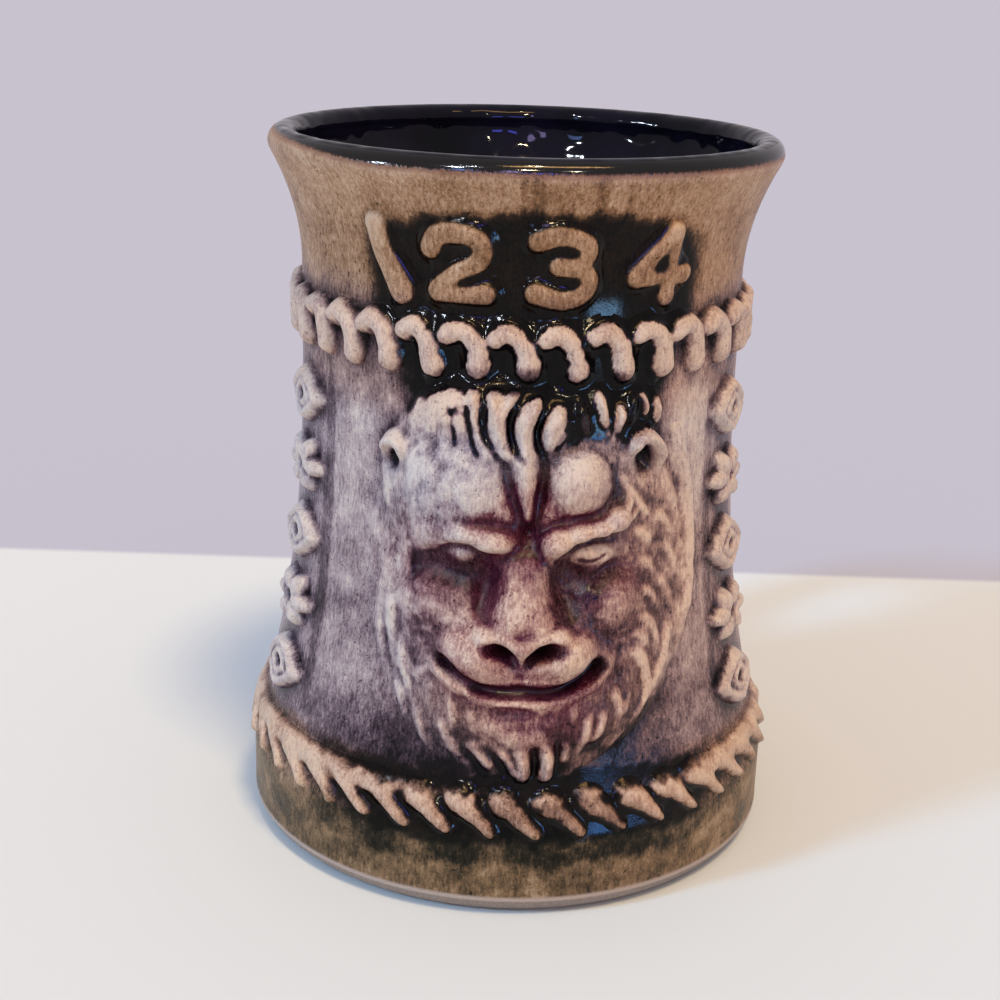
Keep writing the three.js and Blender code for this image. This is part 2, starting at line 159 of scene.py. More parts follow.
def smoothPath(points, parts=8):
    # Catmull-Rom curve through the points
    p = np.array(points, float)
    if len(p) == 2:
        return p
    ends = np.vstack([2 * p[0] - p[1], p, 2 * p[-1] - p[-2]])
    t = np.linspace(0, 1, parts, endpoint=False)[:, None]
    curves = [
        b + 0.5 * ((c - a) * t + (2 * a - 5 * b + 4 * c - d) * t ** 2 + (3 * b - a - 3 * c + d) * t ** 3)
        for a, b, c, d in zip(ends, ends[1:], ends[2:], ends[3:])
    ]
    return np.vstack(curves + [p[-1:]])


def stroke(points, width, power=0.6, fadeIn=0.0, fadeOut=0.0):
    # 1 on the line and 0 at its half width, which may run from one value to another
    startWidth, endWidth = width if isinstance(width, tuple) else (width, width)
    path = smoothPath(points)
    reach = max(startWidth, endWidth)
    low, high = path.min(0) - reach, path.max(0) + reach
    rows, columns = window(low[0], high[0], low[1], high[1])
    gridX, gridZ = np.meshgrid(chartX[columns], chartZ[rows])
    best = np.zeros_like(gridX)
    for i, (a, b) in enumerate(zip(path, path[1:])):
        d = b - a
        along = np.clip(((gridX - a[0]) * d[0] + (gridZ - a[1]) * d[1]) / max(d @ d, 1e-9), 0, 1)
        apart = (gridX - a[0] - along * d[0]) ** 2 + (gridZ - a[1] - along * d[1]) ** 2
        place = (i + along) / (len(path) - 1)
        halfWidth = startWidth + (endWidth - startWidth) * place
        strength = np.ones_like(place)
        if fadeIn:
            strength *= np.clip(place / fadeIn, 0, 1)
        if fadeOut:
            strength *= np.clip((1 - place) / fadeOut, 0, 1)
        best = np.maximum(best, strength * np.clip(1 - apart / halfWidth ** 2, 0, 1) ** power)
    return rows, columns, best


def lift(form, low, top, softness=0.6):
    # stands out of the clay that is there, with a soft crease round it
    rows, columns, share = form
    there = clay[rows, columns]
    raised = np.where(share > 0, low + (top - low) * share, -20)
    blend = np.clip(0.5 + 0.5 * (raised - there) / softness, 0, 1)
    clay[rows, columns] = there + (raised - there) * blend + softness * blend * (1 - blend)


def press(form, depth):
    rows, columns, share = form
    clay[rows, columns] -= depth * share


def pile(form, rise):
    press(form, -rise)


def blur(field, reach):
    # three box passes; the map closes on itself round the mug
    for axis, step in ((0, chart["step"]), (1, columnStep)):
        k = max(1, round(reach / step))
        for _ in range(3):
            padding = [(k + 1, k) if a == axis else (0, 0) for a in (0, 1)]
            total = np.cumsum(np.pad(field, padding, mode="wrap" if axis == 1 else "edge"), axis=axis)
            count = field.shape[axis]
            upper = np.take(total, np.arange(2 * k + 1, 2 * k + 1 + count), axis=axis)
            field = (upper - np.take(total, np.arange(count), axis=axis)) / (2 * k + 1)
    return field


# Lion's head, in millimetres on the flat drawing, worked from the back to the front.
# Creases of the face are pressed into the clay and hold glaze.
creases = {
    "leftFurrow": [(-1.9, 82), (-1.2, 78.6), (-0.2, 75.1), (1.2, 71.2), (2.4, 68.2)],
    "rightFurrow": [(4.6, 82), (4.4, 78.7), (3.9, 75.2), (3.2, 71.2), (2.6, 68.2)],
    "overRightBrow": [(3.4, 69.1), (5.4, 70.3), (8.6, 71.6), (11.9, 72.6)],
    "leftLid": [(-11.6, 65.4), (-9.3, 66.6), (-6.8, 66.8), (-4.2, 65.2)],
    "rightLid": [(8.0, 65.6), (10.0, 67.3), (12.6, 67.9), (16.2, 67.4)],
    "rightSlit": [(9.9, 64.7), (12.2, 64.4), (14.6, 65.3)],
}
# grooves that part the hair: path, half width, depth
partings = [
    ([(-5.6, 94.0), (-5.2, 90.3), (-5.0, 86.2), (-3.6, 83.4), (-1.9, 81.3)], 0.6, 2.6),
    ([(0.7, 92.2), (-0.8, 88.7), (-0.9, 85.8), (0.0, 83.3), (1.4, 81.5)], 0.65, 3.0),
    ([(4.8, 90.8), (3.4, 87.3), (3.3, 84.4), (4.3, 81.9)], 0.65, 3.0),
    ([(-10.3, 89.6), (-9.7, 86.2), (-9.3, 83.3)], 0.4, 0.8),
    ([(-7.9, 90.6), (-7.3, 87.2), (-6.6, 84.0), (-5.6, 82.2)], 0.45, 1.2),
    ([(-12.8, 88.6), (-12.1, 85.6), (-11.7, 82.6)], 0.4, 0.6),
]


def pressLionGround():
    ground = {
        "x": 2.5,
        "z": 60,
        "halfWidth": 32,
        "halfHeight": 35,
        "rise": 1.9,
        "leftEdge": 0.42,    # share of the radius over which its edge rises
        "rightEdge": 0.13,
    }
    rows, columns = window(-32, 36, 24, 96)
    gridX, gridZ = np.meshgrid(chartX[columns] - ground["x"], chartZ[rows] - ground["z"])
    apart = np.hypot(gridX / ground["halfWidth"], gridZ / ground["halfHeight"])
    edge = ground["leftEdge"] + (ground["rightEdge"] - ground["leftEdge"]) * smooth(-6, 20, gridX)
    clay[rows, columns] = ground["rise"] * smooth(0, 1, (1 - apart) / edge)
    pile(dome(2, 57, 24, 35, 1.3), 3.0)
    pile(dome(1.8, 47, 15, 13, 1.3), 1.2)


def modelHair():
    # a low fringe on the left that melts into the forehead, then locks parted by deep grooves
    fringe = [(-14.6, 86.4), (-9.4, 88.6), (-4.0, 88.8), (2.4, 87.6), (5.6, 86.4)]
    lift(stroke(fringe, (4.4, 4.0), 0.6, 0.15, 0.02), 0.8, 4.2, 1.4)
    lift(dome(-1.0, 84.0, 7.4, 4.6, 0.8), 1.4, 4.6, 1.4)
    locks = [
        ([(-6.9, 93.2), (-6.5, 90.1), (-6.1, 87.3), (-4.9, 84.6), (-3.2, 81.8)], (1.1, 1.5), 5.0),
        ([(-4.2, 92.8), (-3.4, 90.0), (-2.7, 87.2), (-1.7, 83.8), (-0.7, 81.4)], (1.3, 1.6), 5.2),
        ([(0.0, 92.9), (-1.2, 90.5), (-2.3, 87.8)], (0.9, 1.5), 5.0),
        ([(3.5, 91.2), (1.8, 88.4), (1.1, 85.5), (2.0, 81.9)], (1.2, 1.4), 5.2),
        ([(7.1, 89.4), (5.5, 87.0), (5.2, 83.2)], (1.3, 1.4), 5.0),
    ]
    for path, width, top in locks:
        lift(stroke(path, width, 0.7, 0.1, 0.1), 1.0, top, 0.5)
    for path, halfWidth, depth in partings:
        press(stroke(path, halfWidth, 1.0, 0.05, 0.3), depth)
    tufts = [
        ([(10.0, 90.6), (10.8, 87.6), (11.6, 84.4)], (1.7, 1.1), 3.4),
        ([(13.4, 91.8), (14.0, 89.2), (14.4, 86.2)], (1.1, 0.8), 4.0),
        ([(17.4, 89.8), (16.9, 87.6), (16.1, 85.2)], (1.1, 0.8), 4.2),
        ([(19.6, 91.4), (19.2, 88.6), (18.4, 86.0)], (1.2, 0.8), 3.2),
        ([(21.5, 91.0), (22.0, 89.4), (22.2, 87.0)], (0.9, 0.7), 3.0),
        ([(24.4, 90.6), (24.6, 88.0), (24.5, 85.6)], (0.9, 0.7), 3.2),
    ]
    for path, width, top in tufts:
        lift(stroke(path, width, 0.8, 0.25, 0.3), 0.6, top, 0.4)


def modelForehead():
    lift(dome(-8.6, 76.6, 15.4, 14.0, 1.35), 0.2, 6.1, 3.4)
    lift(dome(10.2, 77.2, 5.6, 5.9, 0.8), 2.8, 6.6, 0.9)
    lift(stroke([(1.4, 82), (1.9, 76.2), (2.3, 71.6)], (2.6, 1.6), 1.0), 2.8, 5.7, 1.0)
    # brows overhang the eyes; the left one melts into the forehead, the right one is a chain of lumps
    leftBrow = [(-1.6, 67.9), (-4.4, 68.6), (-7.4, 69.0), (-10.6, 68.8), (-14.4, 67.2)]
    lift(stroke(leftBrow, (2.2, 2.4), 0.8, 0, 0.5), 3.2, 6.7, 1.8)
    lift(dome(-2.8, 67.8, 3.4, 2.0, 0.7, 10), 4.0, 7.3, 0.8)
    rightBrow = [
        # x, z, half width, half height, turn
        (6.6, 67.8, 3.3, 2.6, 22),
        (10.4, 69.4, 2.6, 1.8, 10),
        (13.4, 70.0, 2.2, 1.6, 14),
        (16.2, 71.2, 2.4, 2.2, 30),
    ]
    for x, z, halfWidth, halfHeight, turn in rightBrow:
        lift(dome(x, z, halfWidth, halfHeight, 0.6, turn), 3.6, 7.3, 0.8)
    lift(stroke([(16.6, 71.6), (18.2, 73.0), (18.8, 75.4)], (1.2, 0.8), 0.9, 0, 0.3), 2.0, 5.4)
    lift(stroke([(16.4, 70.2), (18.8, 70.8), (20.6, 72.4)], (1.0, 0.8), 0.9, 0, 0.3), 2.0, 4.6)
    # furrows that meet over the nose: path, half widths, fading in and out, depth
    furrows = [
        (creases["leftFurrow"], (0.9, 1.3), 0.25, 0, 1.3),
        (creases["rightFurrow"], (0.9, 1.3), 0.25, 0, 1.4),
        (creases["overRightBrow"], (1.1, 0.8), 0.1, 0.7, 0.9),
        ([(-5.2, 71.7), (-3.6, 71.3), (-0.8, 70.3), (1.6, 69.1)], (0.9, 1.2), 0.7, 0, 0.5),
    ]
    for path, width, fadeIn, fadeOut, depth in furrows:
        press(stroke(path, width, 1.3, fadeIn, fadeOut), depth)
    press(dome(2.4, 66.4, 3.0, 4.4, 1.8), 1.5)


def modelEyes():
    sockets = [
        # x, z, half width, half height, depth
        (-9.6, 62.4, 8.4, 4.8, 1.9),
        (-3.6, 60.4, 3.6, 7.4, 2.2),
        (12.8, 62.2, 8.0, 4.2, 1.7),
        (8.6, 60.4, 3.6, 7.4, 2.3),
    ]
    for x, z, halfWidth, halfHeight, depth in sockets:
        press(dome(x, z, halfWidth, halfHeight, 1.5), depth)
    # eyeballs between two lids, with a crease under each brow
    lift(dome(-8.0, 64.9, 3.4, 1.8, 0.9), 1.8, 4.1, 1.2)
    lift(dome(12.3, 65.0, 3.2, 2.1, 0.7), 1.8, 5.2, 0.5)
    lids = [
        ([(9.2, 65.0), (10.6, 66.4), (12.7, 66.9), (15.5, 66.0)], 0.65, 0, 0.9),
        ([(9.4, 64.2), (10.8, 62.8), (12.5, 62.2), (14.3, 63.3), (15.6, 65.2)], 0.7, 0, 1.1),
        ([(-10.8, 64.4), (-9.3, 65.6), (-7.0, 65.9), (-5.0, 64.7)], 0.7, 0.4, 0.3),
        ([(-10.4, 63.8), (-8.2, 62.9), (-5.6, 63.7)], 0.7, 0.4, 0.3),
    ]
    for path, width, fade, rise in lids:
        pile(stroke(path, width, 0.9, fade, fade), rise)
    press(stroke(creases["rightSlit"], 0.5, 0.9, 0.1, 0.1), 1.1)
    press(stroke(creases["rightLid"], 0.5, 1.0, 0.1, 0.3), 1.2)
    press(stroke(creases["leftLid"], 0.5, 1.0, 0.3, 0.1), 0.8)
    # cheekbones
    pile(dome(-12.6, 56.4, 6.5, 6, 1.5), 1.4)
    pile(dome(17.2, 56.6, 5.4, 6.5, 1.5), 1.7)


def modelNose():
    nose = {
        "middle": 1.8,
        "root": 66.5,        # heights at which it starts and ends
        "tip": 49.4,
        "rootHalf": 3.0,
        "tipHalf": 6.7,
        "base": 2.4,
        "rootTop": 5.4,
        "tipTop": 8.6,
    }
    rows, columns = window(-9, 12, 47, 69)
    gridX, gridZ = np.meshgrid(chartX[columns], chartZ[rows])
    drop = np.clip((nose["root"] - gridZ) / (nose["root"] - nose["tip"]), 0, 1)
    halfWidth = nose["rootHalf"] + (nose["tipHalf"] - nose["rootHalf"]) * drop ** 0.85
    share = np.clip(1 - (np.abs(gridX - nose["middle"]) / halfWidth) ** 3.6, 0, 1) ** 0.9
    share *= np.clip((nose["root"] + 2 - gridZ) / 4, 0, 1)
    share *= np.clip((gridZ - nose["tip"]) / 2.2, 0, 1) ** 0.6
    top = nose["rootTop"] + (nose["tipTop"] - nose["rootTop"]) * drop
    share *= (top - nose["base"]) / (nose["tipTop"] - nose["base"])
    lift((rows, columns, share), nose["base"], nose["tipTop"], 0.8)
    # wings, and a tip that stands over the nostrils: x, z, half width, low, top
    knobs = [(-3.3, 52.0, 2.4, 4, 8), (7.2, 52.1, 2.4, 4, 8), (1.8, 50.6, 3.4, 5, 8.9)]
    for x, z, halfWidth, low, top in knobs:
        lift(dome(x, z, halfWidth, 2.0, 0.8), low, top, 0.8)
    # creases round the wings and down both sides
    aboveTip = [(-2.6, 54.6), (-0.4, 53.2), (1.8, 52.7), (3.6, 53.4), (6.0, 55.0)]
    press(stroke(aboveTip, 0.8, 1.2, 0.3, 0.3), 0.5)
    for path in ([(-3.0, 62.5), (-4.6, 58), (-5.4, 54.6)], [(6.6, 62.5), (8.2, 58), (9.2, 54.2)]):
        press(stroke(path, (1.6, 1.2), 1.3, 0.3, 0.2), 0.9)


def modelMuzzle():
    lift(dome(-4.9, 48.3, 6.9, 5.0, 0.7, -24), 3.0, 7.4, 0.8)
    lift(dome(7.6, 48.6, 6.1, 4.8, 0.7, 22), 3.0, 7.5, 0.8)
    # nostrils: a hollow under either wing that curls in to the septum
    press(dome(-1.5, 49.7, 2.5, 1.5, 1.1, -14), 3.0)
    press(dome(5.2, 49.6, 2.9, 1.8, 1.1, 18), 3.2)
    press(stroke([(-0.6, 49.2), (0.4, 48.2), (0.9, 47.2)], (1.2, 0.7), 1.1, 0, 0.2), 2.4)
    press(stroke([(4.2, 49.0), (3.2, 48.1), (2.6, 47.2)], (1.3, 0.7), 1.1, 0, 0.2), 2.4)
    lift(stroke([(1.8, 50.4), (1.75, 47.6)], (1.3, 0.6), 0.9), 4.0, 7.6)
    press(stroke([(1.7, 46.9), (1.7, 43.8)], 0.8, 1.2), 0.9)
    # soft thin lip that runs round the mouth
    lip = [(-12.0, 49.0), (-11.6, 46.3), (-9.4, 43.7), (-6, 41.8), (-1.8, 40.4), (2.9, 40.1), (7.1, 40.6)]
    lip += [(11.4, 42.0), (13.9, 44.4), (14.9, 47.2), (14.3, 49.4)]
    lift(stroke(lip, 1.2, 0.8, 0.15, 0.15), 2.0, 5.2, 1.0)
    pile(stroke([(-4.5, 40.9), (0, 40.2), (3, 40.1), (8, 40.8)], 0.9, 1.0, 0.3, 0.3), 0.5)
    # mouth: a soft band in the middle, a deep corner at either end and a thin line between them
    band = [(-4.2, 42.5), (-1.4, 42.1), (2.0, 42.3), (5.4, 42.0), (8.8, 42.5)]
    press(stroke(band, 1.3, 1.0, 0.1, 0.1), 2.3)
    press(stroke([(-4.2, 42.6), (-5.9, 43.9), (-7.9, 45.4)], (0.9, 0.6), 1.0), 1.0)
    press(dome(-9.2, 46.2, 2.0, 1.15, 1.0, -40), 3.0)
    press(stroke([(8.8, 42.6), (10.9, 43.6), (12.5, 44.8), (13.5, 46.0)], (0.9, 1.6), 1.0, 0, 0.1), 3.2)
    press(dome(0.8, 38.7, 3.4, 1.5, 1.2), 1.4)


# strands of the beard and mane: path, half width, rise
strands = [
    ([(12.4, 39.0), (11.8, 36.0), (11.6, 32.9), (10.1, 29.2)], 0.9, 1.3),
    ([(14.4, 38.6), (14.3, 35.7), (13.5, 33.5), (12.4, 31.6)], 0.95, 1.3),
    ([(15.9, 42.0), (16.7, 39.3), (17.0, 36.9), (15.8, 33.4)], 1.1, 1.3),
    ([(19.2, 41.6), (18.4, 38.2), (17.4, 35.2)], 0.7, 1.1),
    ([(20.4, 41.2), (20.0, 37.0)], 0.55, 0.9),
    ([(18.0, 47.7), (21.0, 46.0), (22.2, 42.2), (22.0, 39.0), (21.0, 36.4), (19.2, 32.4)], 1.15, 1.5),
    ([(27.4, 51.6), (26.2, 45.6), (24.5, 42.0), (23.0, 38.2)], 1.0, 1.0),
    ([(17.8, 33.2), (15.7, 29.8)], 0.7, 0.9),
    ([(9.8, 40.2), (9.6, 37.6), (9.9, 34.8)], 0.8, 0.9),
    ([(-9.0, 40.6), (-8.1, 37.4), (-8.3, 34.1)], 1.1, 0.9),
    ([(-11.0, 37.6), (-9.4, 33.4), (-7.9, 30.4), (-6.6, 28.2)], 1.2, 1.1),
    ([(-15.0, 38.2), (-13.9, 33.9), (-12.6, 31.0), (-10.4, 27.8)], 1.2, 1.0),
    ([(-14.2, 41.2), (-13.8, 43.6), (-11.8, 45.0)], 1.0, 0.6),
    ([(-12.2, 42.6), (-12.0, 39.2), (-11.8, 36.0)], 0.9, 0.7),
    ([(-5.6, 38.4), (-5.2, 36.0), (-4.4, 33.6)], 0.9, 0.7),
    ([(-17.4, 49.0), (-17.4, 43.8), (-16.1, 40.7), (-15.2, 36.4)], 1.1, 0.9),
    ([(-18.2, 41.0), (-17.0, 36.4), (-15.4, 32.0)], 1.1, 0.8),
    ([(-19.8, 58.0), (-20.2, 51.0), (-19.6, 45.6), (-18.4, 40.6)], 1.2, 0.7),
    ([(-22.4, 60.0), (-23.0, 52.6), (-22.2, 46.4), (-20.4, 40.0)], 1.2, 0.5),
    ([(19.8, 53.4), (22.8, 52.2), (24.6, 48.6), (24.2, 45.4)], 1.0, 0.9),
    ([(18.6, 50.6), (21.4, 49.6), (23.2, 46.6)], 0.8, 0.7),
    ([(20.6, 58.4), (23.6, 56.6), (25.6, 53.2)], 0.9, 0.8),
    ([(24.4, 59.8), (27.0, 56.6), (28.2, 52.4)], 0.9, 0.7),
    ([(20.8, 63.8), (23.0, 61.8), (25.0, 59.8)], 0.9, 0.8),
    ([(25.6, 65.6), (28.2, 62.2), (29.2, 58.4)], 0.9, 0.7),
    ([(19.6, 68.8), (22.0, 67.2), (23.8, 65.0)], 0.9, 0.8),
    ([(24.2, 71.0), (26.8, 68.6), (28.4, 65.6)], 0.9, 0.8),
    ([(19.8, 74.6), (21.6, 72.2), (23.6, 70.0)], 0.9, 0.8),
    ([(25.6, 76.6), (27.8, 73.8), (29.2, 70.4)], 0.9, 0.7),
    ([(17.4, 78.6), (18.6, 76.2), (20.4, 74.0)], 0.8, 0.8),
    ([(28.0, 81.6), (29.6, 78.4), (30.4, 74.8)], 0.9, 0.6),
]


def modelBeard():
    # one soft mass with a pad of a chin; tufts and thin strands run down over it to the lower rope
    lift(dome(1.0, 38, 17, 11.0, 1.0), -0.8, 3.4, 2.0)
    chin = [(-3.2, 36.4), (0.0, 34.9), (2.4, 34.2), (4.8, 34.9), (6.6, 36.6)]
    lift(stroke(chin, 2.9, 0.8), 1.2, 4.3, 1.0)
    tufts = [
        ([(-6.6, 35.2), (-5.2, 31.8), (-3.4, 29.2), (-1.8, 27.0)], (1.4, 0.6), 3.1),
        ([(-2.6, 34.2), (-1.0, 31.2), (0.6, 28.4), (1.5, 25.6)], (1.2, 0.6), 3.6),
        ([(8.4, 37.2), (8.5, 34.0), (8.8, 31.0), (7.6, 27.8)], (1.1, 0.6), 3.7),
        ([(2.2, 33.8), (2.3, 31.0), (2.6, 28.2), (2.2, 25.3)], (1.6, 1.1), 4.3),
        ([(5.4, 34.0), (5.9, 31.0), (6.2, 28.2), (5.5, 25.4)], (1.6, 1.1), 4.2),
    ]
    for path, width, top in tufts:
        lift(stroke(path, width, 0.8, 0.3, 0.15), -0.8, top, 0.5)
    for path, width, rise in strands:
        pile(stroke(path, (width, 0.5 * width), 0.9, 0.25, 0.35), rise)
    gaps = [
        ([(-6.4, 30.8), (-4.8, 28.8), (-2.8, 26.4)], 0.8),
        ([(-2.2, 30.6), (-0.4, 28.0), (1.0, 25.2)], 0.8),
        ([(4.0, 32.8), (4.2, 29.6), (3.9, 25.2)], 0.55),
        ([(7.5, 33.8), (7.7, 30.4), (7.0, 26.6)], 0.6),
    ]
    for path, width in gaps:
        press(stroke(path, width, 1.0, 0.3, 0.1), 1.5)


def modelEarsAndMane():
    leftEar = [(-23.0, 79.0), (-22.4, 81.4), (-20.6, 82.6), (-19.1, 81.6), (-18.6, 78.8)]
    lift(stroke(leftEar, (1.3, 1.7), 0.9, 0.25, 0.15), 1.0, 4.0, 0.8)
    press(dome(-20.9, 78.6, 1.7, 2.3, 1.2), 1.7)
    rightEar = [(19.6, 81.6), (20.4, 83.8), (22.5, 84.2), (24.6, 82.3), (24.9, 79.4), (23.9, 76.6)]
    lift(stroke(rightEar, (1.5, 1.1), 0.9, 0.1, 0.3), 1.0, 4.6, 0.6)
    press(dome(22.2, 80.0, 1.9, 2.8, 1.2), 2.2)
    rim = [(30.4, 84), (32.0, 76), (33.0, 68), (33.0, 59), (31.6, 51), (28.6, 43.5)]
    lift(stroke(rim, 1.8, 1.0, 0.25, 0.25), 0.6, 2.4, 1.0)
    # long soft grooves on the left, in rings round the face
    chance = np.random.default_rng(7)
    for spoke in range(8):
        for ring in range(3):
            angle = math.radians(128 + 13 * spoke + chance.uniform(-3, 3))
            reach = 18.6 + 4.0 * ring
            x, z = 3 + reach * math.cos(angle), 60 + reach * 1.05 * math.sin(angle)
            lean = math.radians(-98 + 5 * spoke + chance.uniform(-8, 8))
            dx, dz = 4 * math.cos(lean), 4 * math.sin(lean)
            depth = 0.5 * chance.uniform(0.4, 1)
            press(stroke([(x - dx, z - dz), (x - 0.6, z), (x + dx, z + dz)], 1.1, 1.0, 0.4, 0.4), depth)


lionParts = [pressLionGround, modelHair, modelForehead, modelEyes, modelNose, modelMuzzle]
for model in lionParts + [modelBeard, modelEarsAndMane]:
    model()
# the hair stops just short of the upper rope
clay *= smooth(93.6, 92.2, chartZ)[:, None]
clay = blur(np.maximum(clay, 0), 0.25)
print("lion modelled on the map, highest clay", round(float(clay.max()), 2), "mm")

# Unevenness of clay that was pressed and luted by hand: fine grit and small dents, in millimetres
touch = {
    "seed": 11,
    "gritReach": 0.3,
    "gritDepth": 0.03,
    "dentReach": 0.9,
    "dentDepth": 0.05,
    "pressedAbove": 103,   # the numerals came crisp from their mould
}


def unevenness():
    chance = np.random.default_rng(touch["seed"]).normal(size=clay.shape)
    rough = smooth(touch["pressedAbove"] + 2, touch["pressedAbove"], chartZ)[:, None]
    fields = [blur(chance, touch[reach]) for reach in ("gritReach", "dentReach")]
    return [rough * field / field.std() for field in fields]


grit, dents = unevenness()
# upright streaks, where glaze ran or was brushed
streaks = np.tile(np.random.default_rng(5).normal(size=clay.shape[1]), (clay.shape[0], 1))
streaks = blur(streaks, 0.25) / 0.35 + blur(streaks, 1.2) / 0.17


# Rope bands: each strand is drawn once and repeated round the mug
upperRope = {
    "strands": 32,
    "phase": -8.9,
    "low": 92.3,
    "high": 104.5,
    "proud": 2.5,
    "path": [(-3.0, 101.0), (-1.3, 101.9), (0.5, 101.3), (1.7, 99.7), (2.2, 97.8), (2.4, 95.7)],
    "width": (1.85, 2.3),
    "shape": 0.55,
    "core": (100.6, 1.8, 1.3),   # height, half width, how proud
    "parted": (4, 26),           # middle and half width of the stretch at the front without it
}
lowerRope = {
    "strands": 40,
    "phase": -4.4,
    "low": 13.6,
    "high": 25.0,
    "proud": 1.95,
    "path": [(-2.3, 21.6), (-0.8, 20.3), (1.0, 18.3), (2.7, 16.3)],
    "width": (2.5, 0.75),
    "shape": 0.6,
    "core": (21.8, 2.2, 1.5),
    "parted": (8, 24),
}


def layRope(rope):
    pitch = around / rope["strands"]
    chance = np.random.default_rng(rope["strands"])
    for i in range(rope["strands"]):
        offset = rope["phase"] + i * pitch
        offset -= around * round(offset / around)
        wobble = chance.uniform(-0.2, 0.2, (len(rope["path"]), 2))
        proud = rope["proud"] + chance.uniform(-0.2, 0.05)
        # a strand that crosses the back seam is laid on both sides of it
        for shift in (-around, 0, around):
            path = [(offset + shift + x + dx, z + dz) for (x, z), (dx, dz) in zip(rope["path"], wobble)]
            if min(x for x, z in path) < around / 2 + 3 and max(x for x, z in path) > -around / 2 - 3:
                lift(stroke(path, rope["width"], rope["shape"]), 0.0, proud, 0.4)
    # away from the front the strands run together along their upper ends
    height, halfWidth, proud = rope["core"]
    middle, reach = rope["parted"]
    rows, columns = window(chartX[0], chartX[-1], height - halfWidth, height + halfWidth)
    gridX, gridZ = np.meshgrid(chartX[columns] - middle, chartZ[rows] - height)
    share = np.clip(1 - (gridZ / halfWidth) ** 2, 0, 1) ** 0.5
    share *= smooth(0.7 * reach, 1.3 * reach, np.abs(gridX))
    lift((rows, columns, share), 0.0, proud, 0.4)


layRope(upperRope)
layRope(lowerRope)
print("ropes laid")

# Numerals, drawn from their own centres
numerals = {
    "centre": cup["height"] - 17.4,
    "places": [-22.2, -10.2, 6.6, 23.4],
    "edges": [(-27.8, -17.4), (-17.4, -2.4), (-1.2, 13.6), (15.8, 31.8)],
    "halfHeight": 8.0,
    "halfWidth": 2.15,
    "slash": (2.2, 2.8),   # the first one widens downwards
    "proud": 1.7,
    "strokes": [
        [[(-2.1, 5.2), (-1.3, 1.2), (0.3, -2), (2.0, -5.2)]],
        [
            [(-4.4, 2.4), (-3.0, 4.5), (0.3, 5.0), (3.6, 3.8), (3.4, 0.9), (-0.2, -1.6), (-3.2, -4.2)],
            [(-3.4, -4.6), (4.6, -4.6)],
        ],
        [
            [(-4.2, 4.4), (-0.5, 5.1), (3.2, 3.7), (2.8, 1.3), (-0.6, 0.4)],
            [(-0.6, 0.4), (3.5, -1.0), (3.6, -3.6), (0.2, -5.1), (-4.4, -4.2)],
        ],
        [[(1.6, 5.0), (-4.4, -1.8)], [(-4.4, -1.8), (5.0, -1.8)], [(1.7, 5.0), (1.7, -5.2)]],
    ],
}


def layNumerals():
    for centre, strokes in zip(numerals["places"], numerals["strokes"]):
        width = numerals["slash"] if centre == numerals["places"][0] else numerals["halfWidth"]
        for points in strokes:
            path = [(centre + x, numerals["centre"] + z) for x, z in points]
            lift(stroke(path, width, 0.4), 0.0, numerals["proud"], 0.3)


layNumerals()
print("numerals laid")

# Ornament columns: lozenges and flowers in turn
ornaments = {
    "centre": 48,
    "halfWidth": 8.5,
    "count": 5,
    "proud": 2.2,
    "spacing": 1.2,
    "margin": 2.6,
    "wallLow": 24.9,
    "wallHigh": 93,
}
ornamentPitch = (
    ornaments["wallHigh"] - ornaments["wallLow"] - 2 * ornaments["margin"] + ornaments["spacing"]
) / ornaments["count"]


def ornamentHeight(i):
    top = ornaments["wallHigh"] - ornaments["margin"]
    return top - (i + 0.5) * ornamentPitch + ornaments["spacing"] / 2


def layOrnament(x, z, isLozenge):
    halfWidth, halfHeight = ornaments["halfWidth"], (ornamentPitch - ornaments["spacing"]) / 2
    rows, columns = window(x - halfWidth - 1, x + halfWidth + 1, z - halfHeight - 1, z + halfHeight + 1)
    gridX, gridZ = np.meshgrid((chartX[columns] - x) / halfWidth, (chartZ[rows] - z) / halfHeight)
    angle = np.arctan2(gridZ, gridX)
    if isLozenge:
        outline = (np.abs(np.cos(angle)) ** 1.25 + np.abs(np.sin(angle)) ** 1.25) ** -0.8
        veins = 0
    else:
        outline = 0.86 + 0.14 * np.cos(6 * angle)
        veins = smooth(0.62, 1.0, -np.cos(6 * angle))
    share = np.hypot(gridX, gridZ) / outline
    plate = smooth(1.0, 0.7, share) ** 0.8
    # a pit in the middle, and a groove round it or between the petals
    pit = smooth(0.26, 0.12, share)
    groove = smooth(0.12, 0.0, np.abs(share - 0.5)) if isLozenge else veins * smooth(0.2, 0.45, share)
    height = ornaments["proud"] * plate * (1 - 0.75 * pit) * (1 - 0.4 * groove)
    clay[rows, columns] = np.maximum(clay[rows, columns], height)


for side in (-1, 1):
    for i in range(ornaments["count"]):
        layOrnament(side * ornaments["centre"], ornamentHeight(i), i % 2 == 0)
clay = blur(clay, 0.25)
clay += smooth(0.3, 1.2, clay) * (touch["gritDepth"] * grit + touch["dentDepth"] * dents)
print("ornaments laid")

# Glaze left after wiping: 1 is bare clay, 0 is thick dark glaze
glaze = {
    "wall": 0.72,
    "cleaned": 0.95,       # what the sponge reaches first
    "ridgeGain": 0.20,
    "hollowLoss": 0.34,
    "ridgeHeight": 0.9,    # millimetres at which a ridge or a hollow counts in full
    "broadGain": 0.10,
    "broadHeight": 1.6,
    "grooveLoss": 0.30,
    "grooveDepth": 0.35,
    "thickest": 0.03,
}
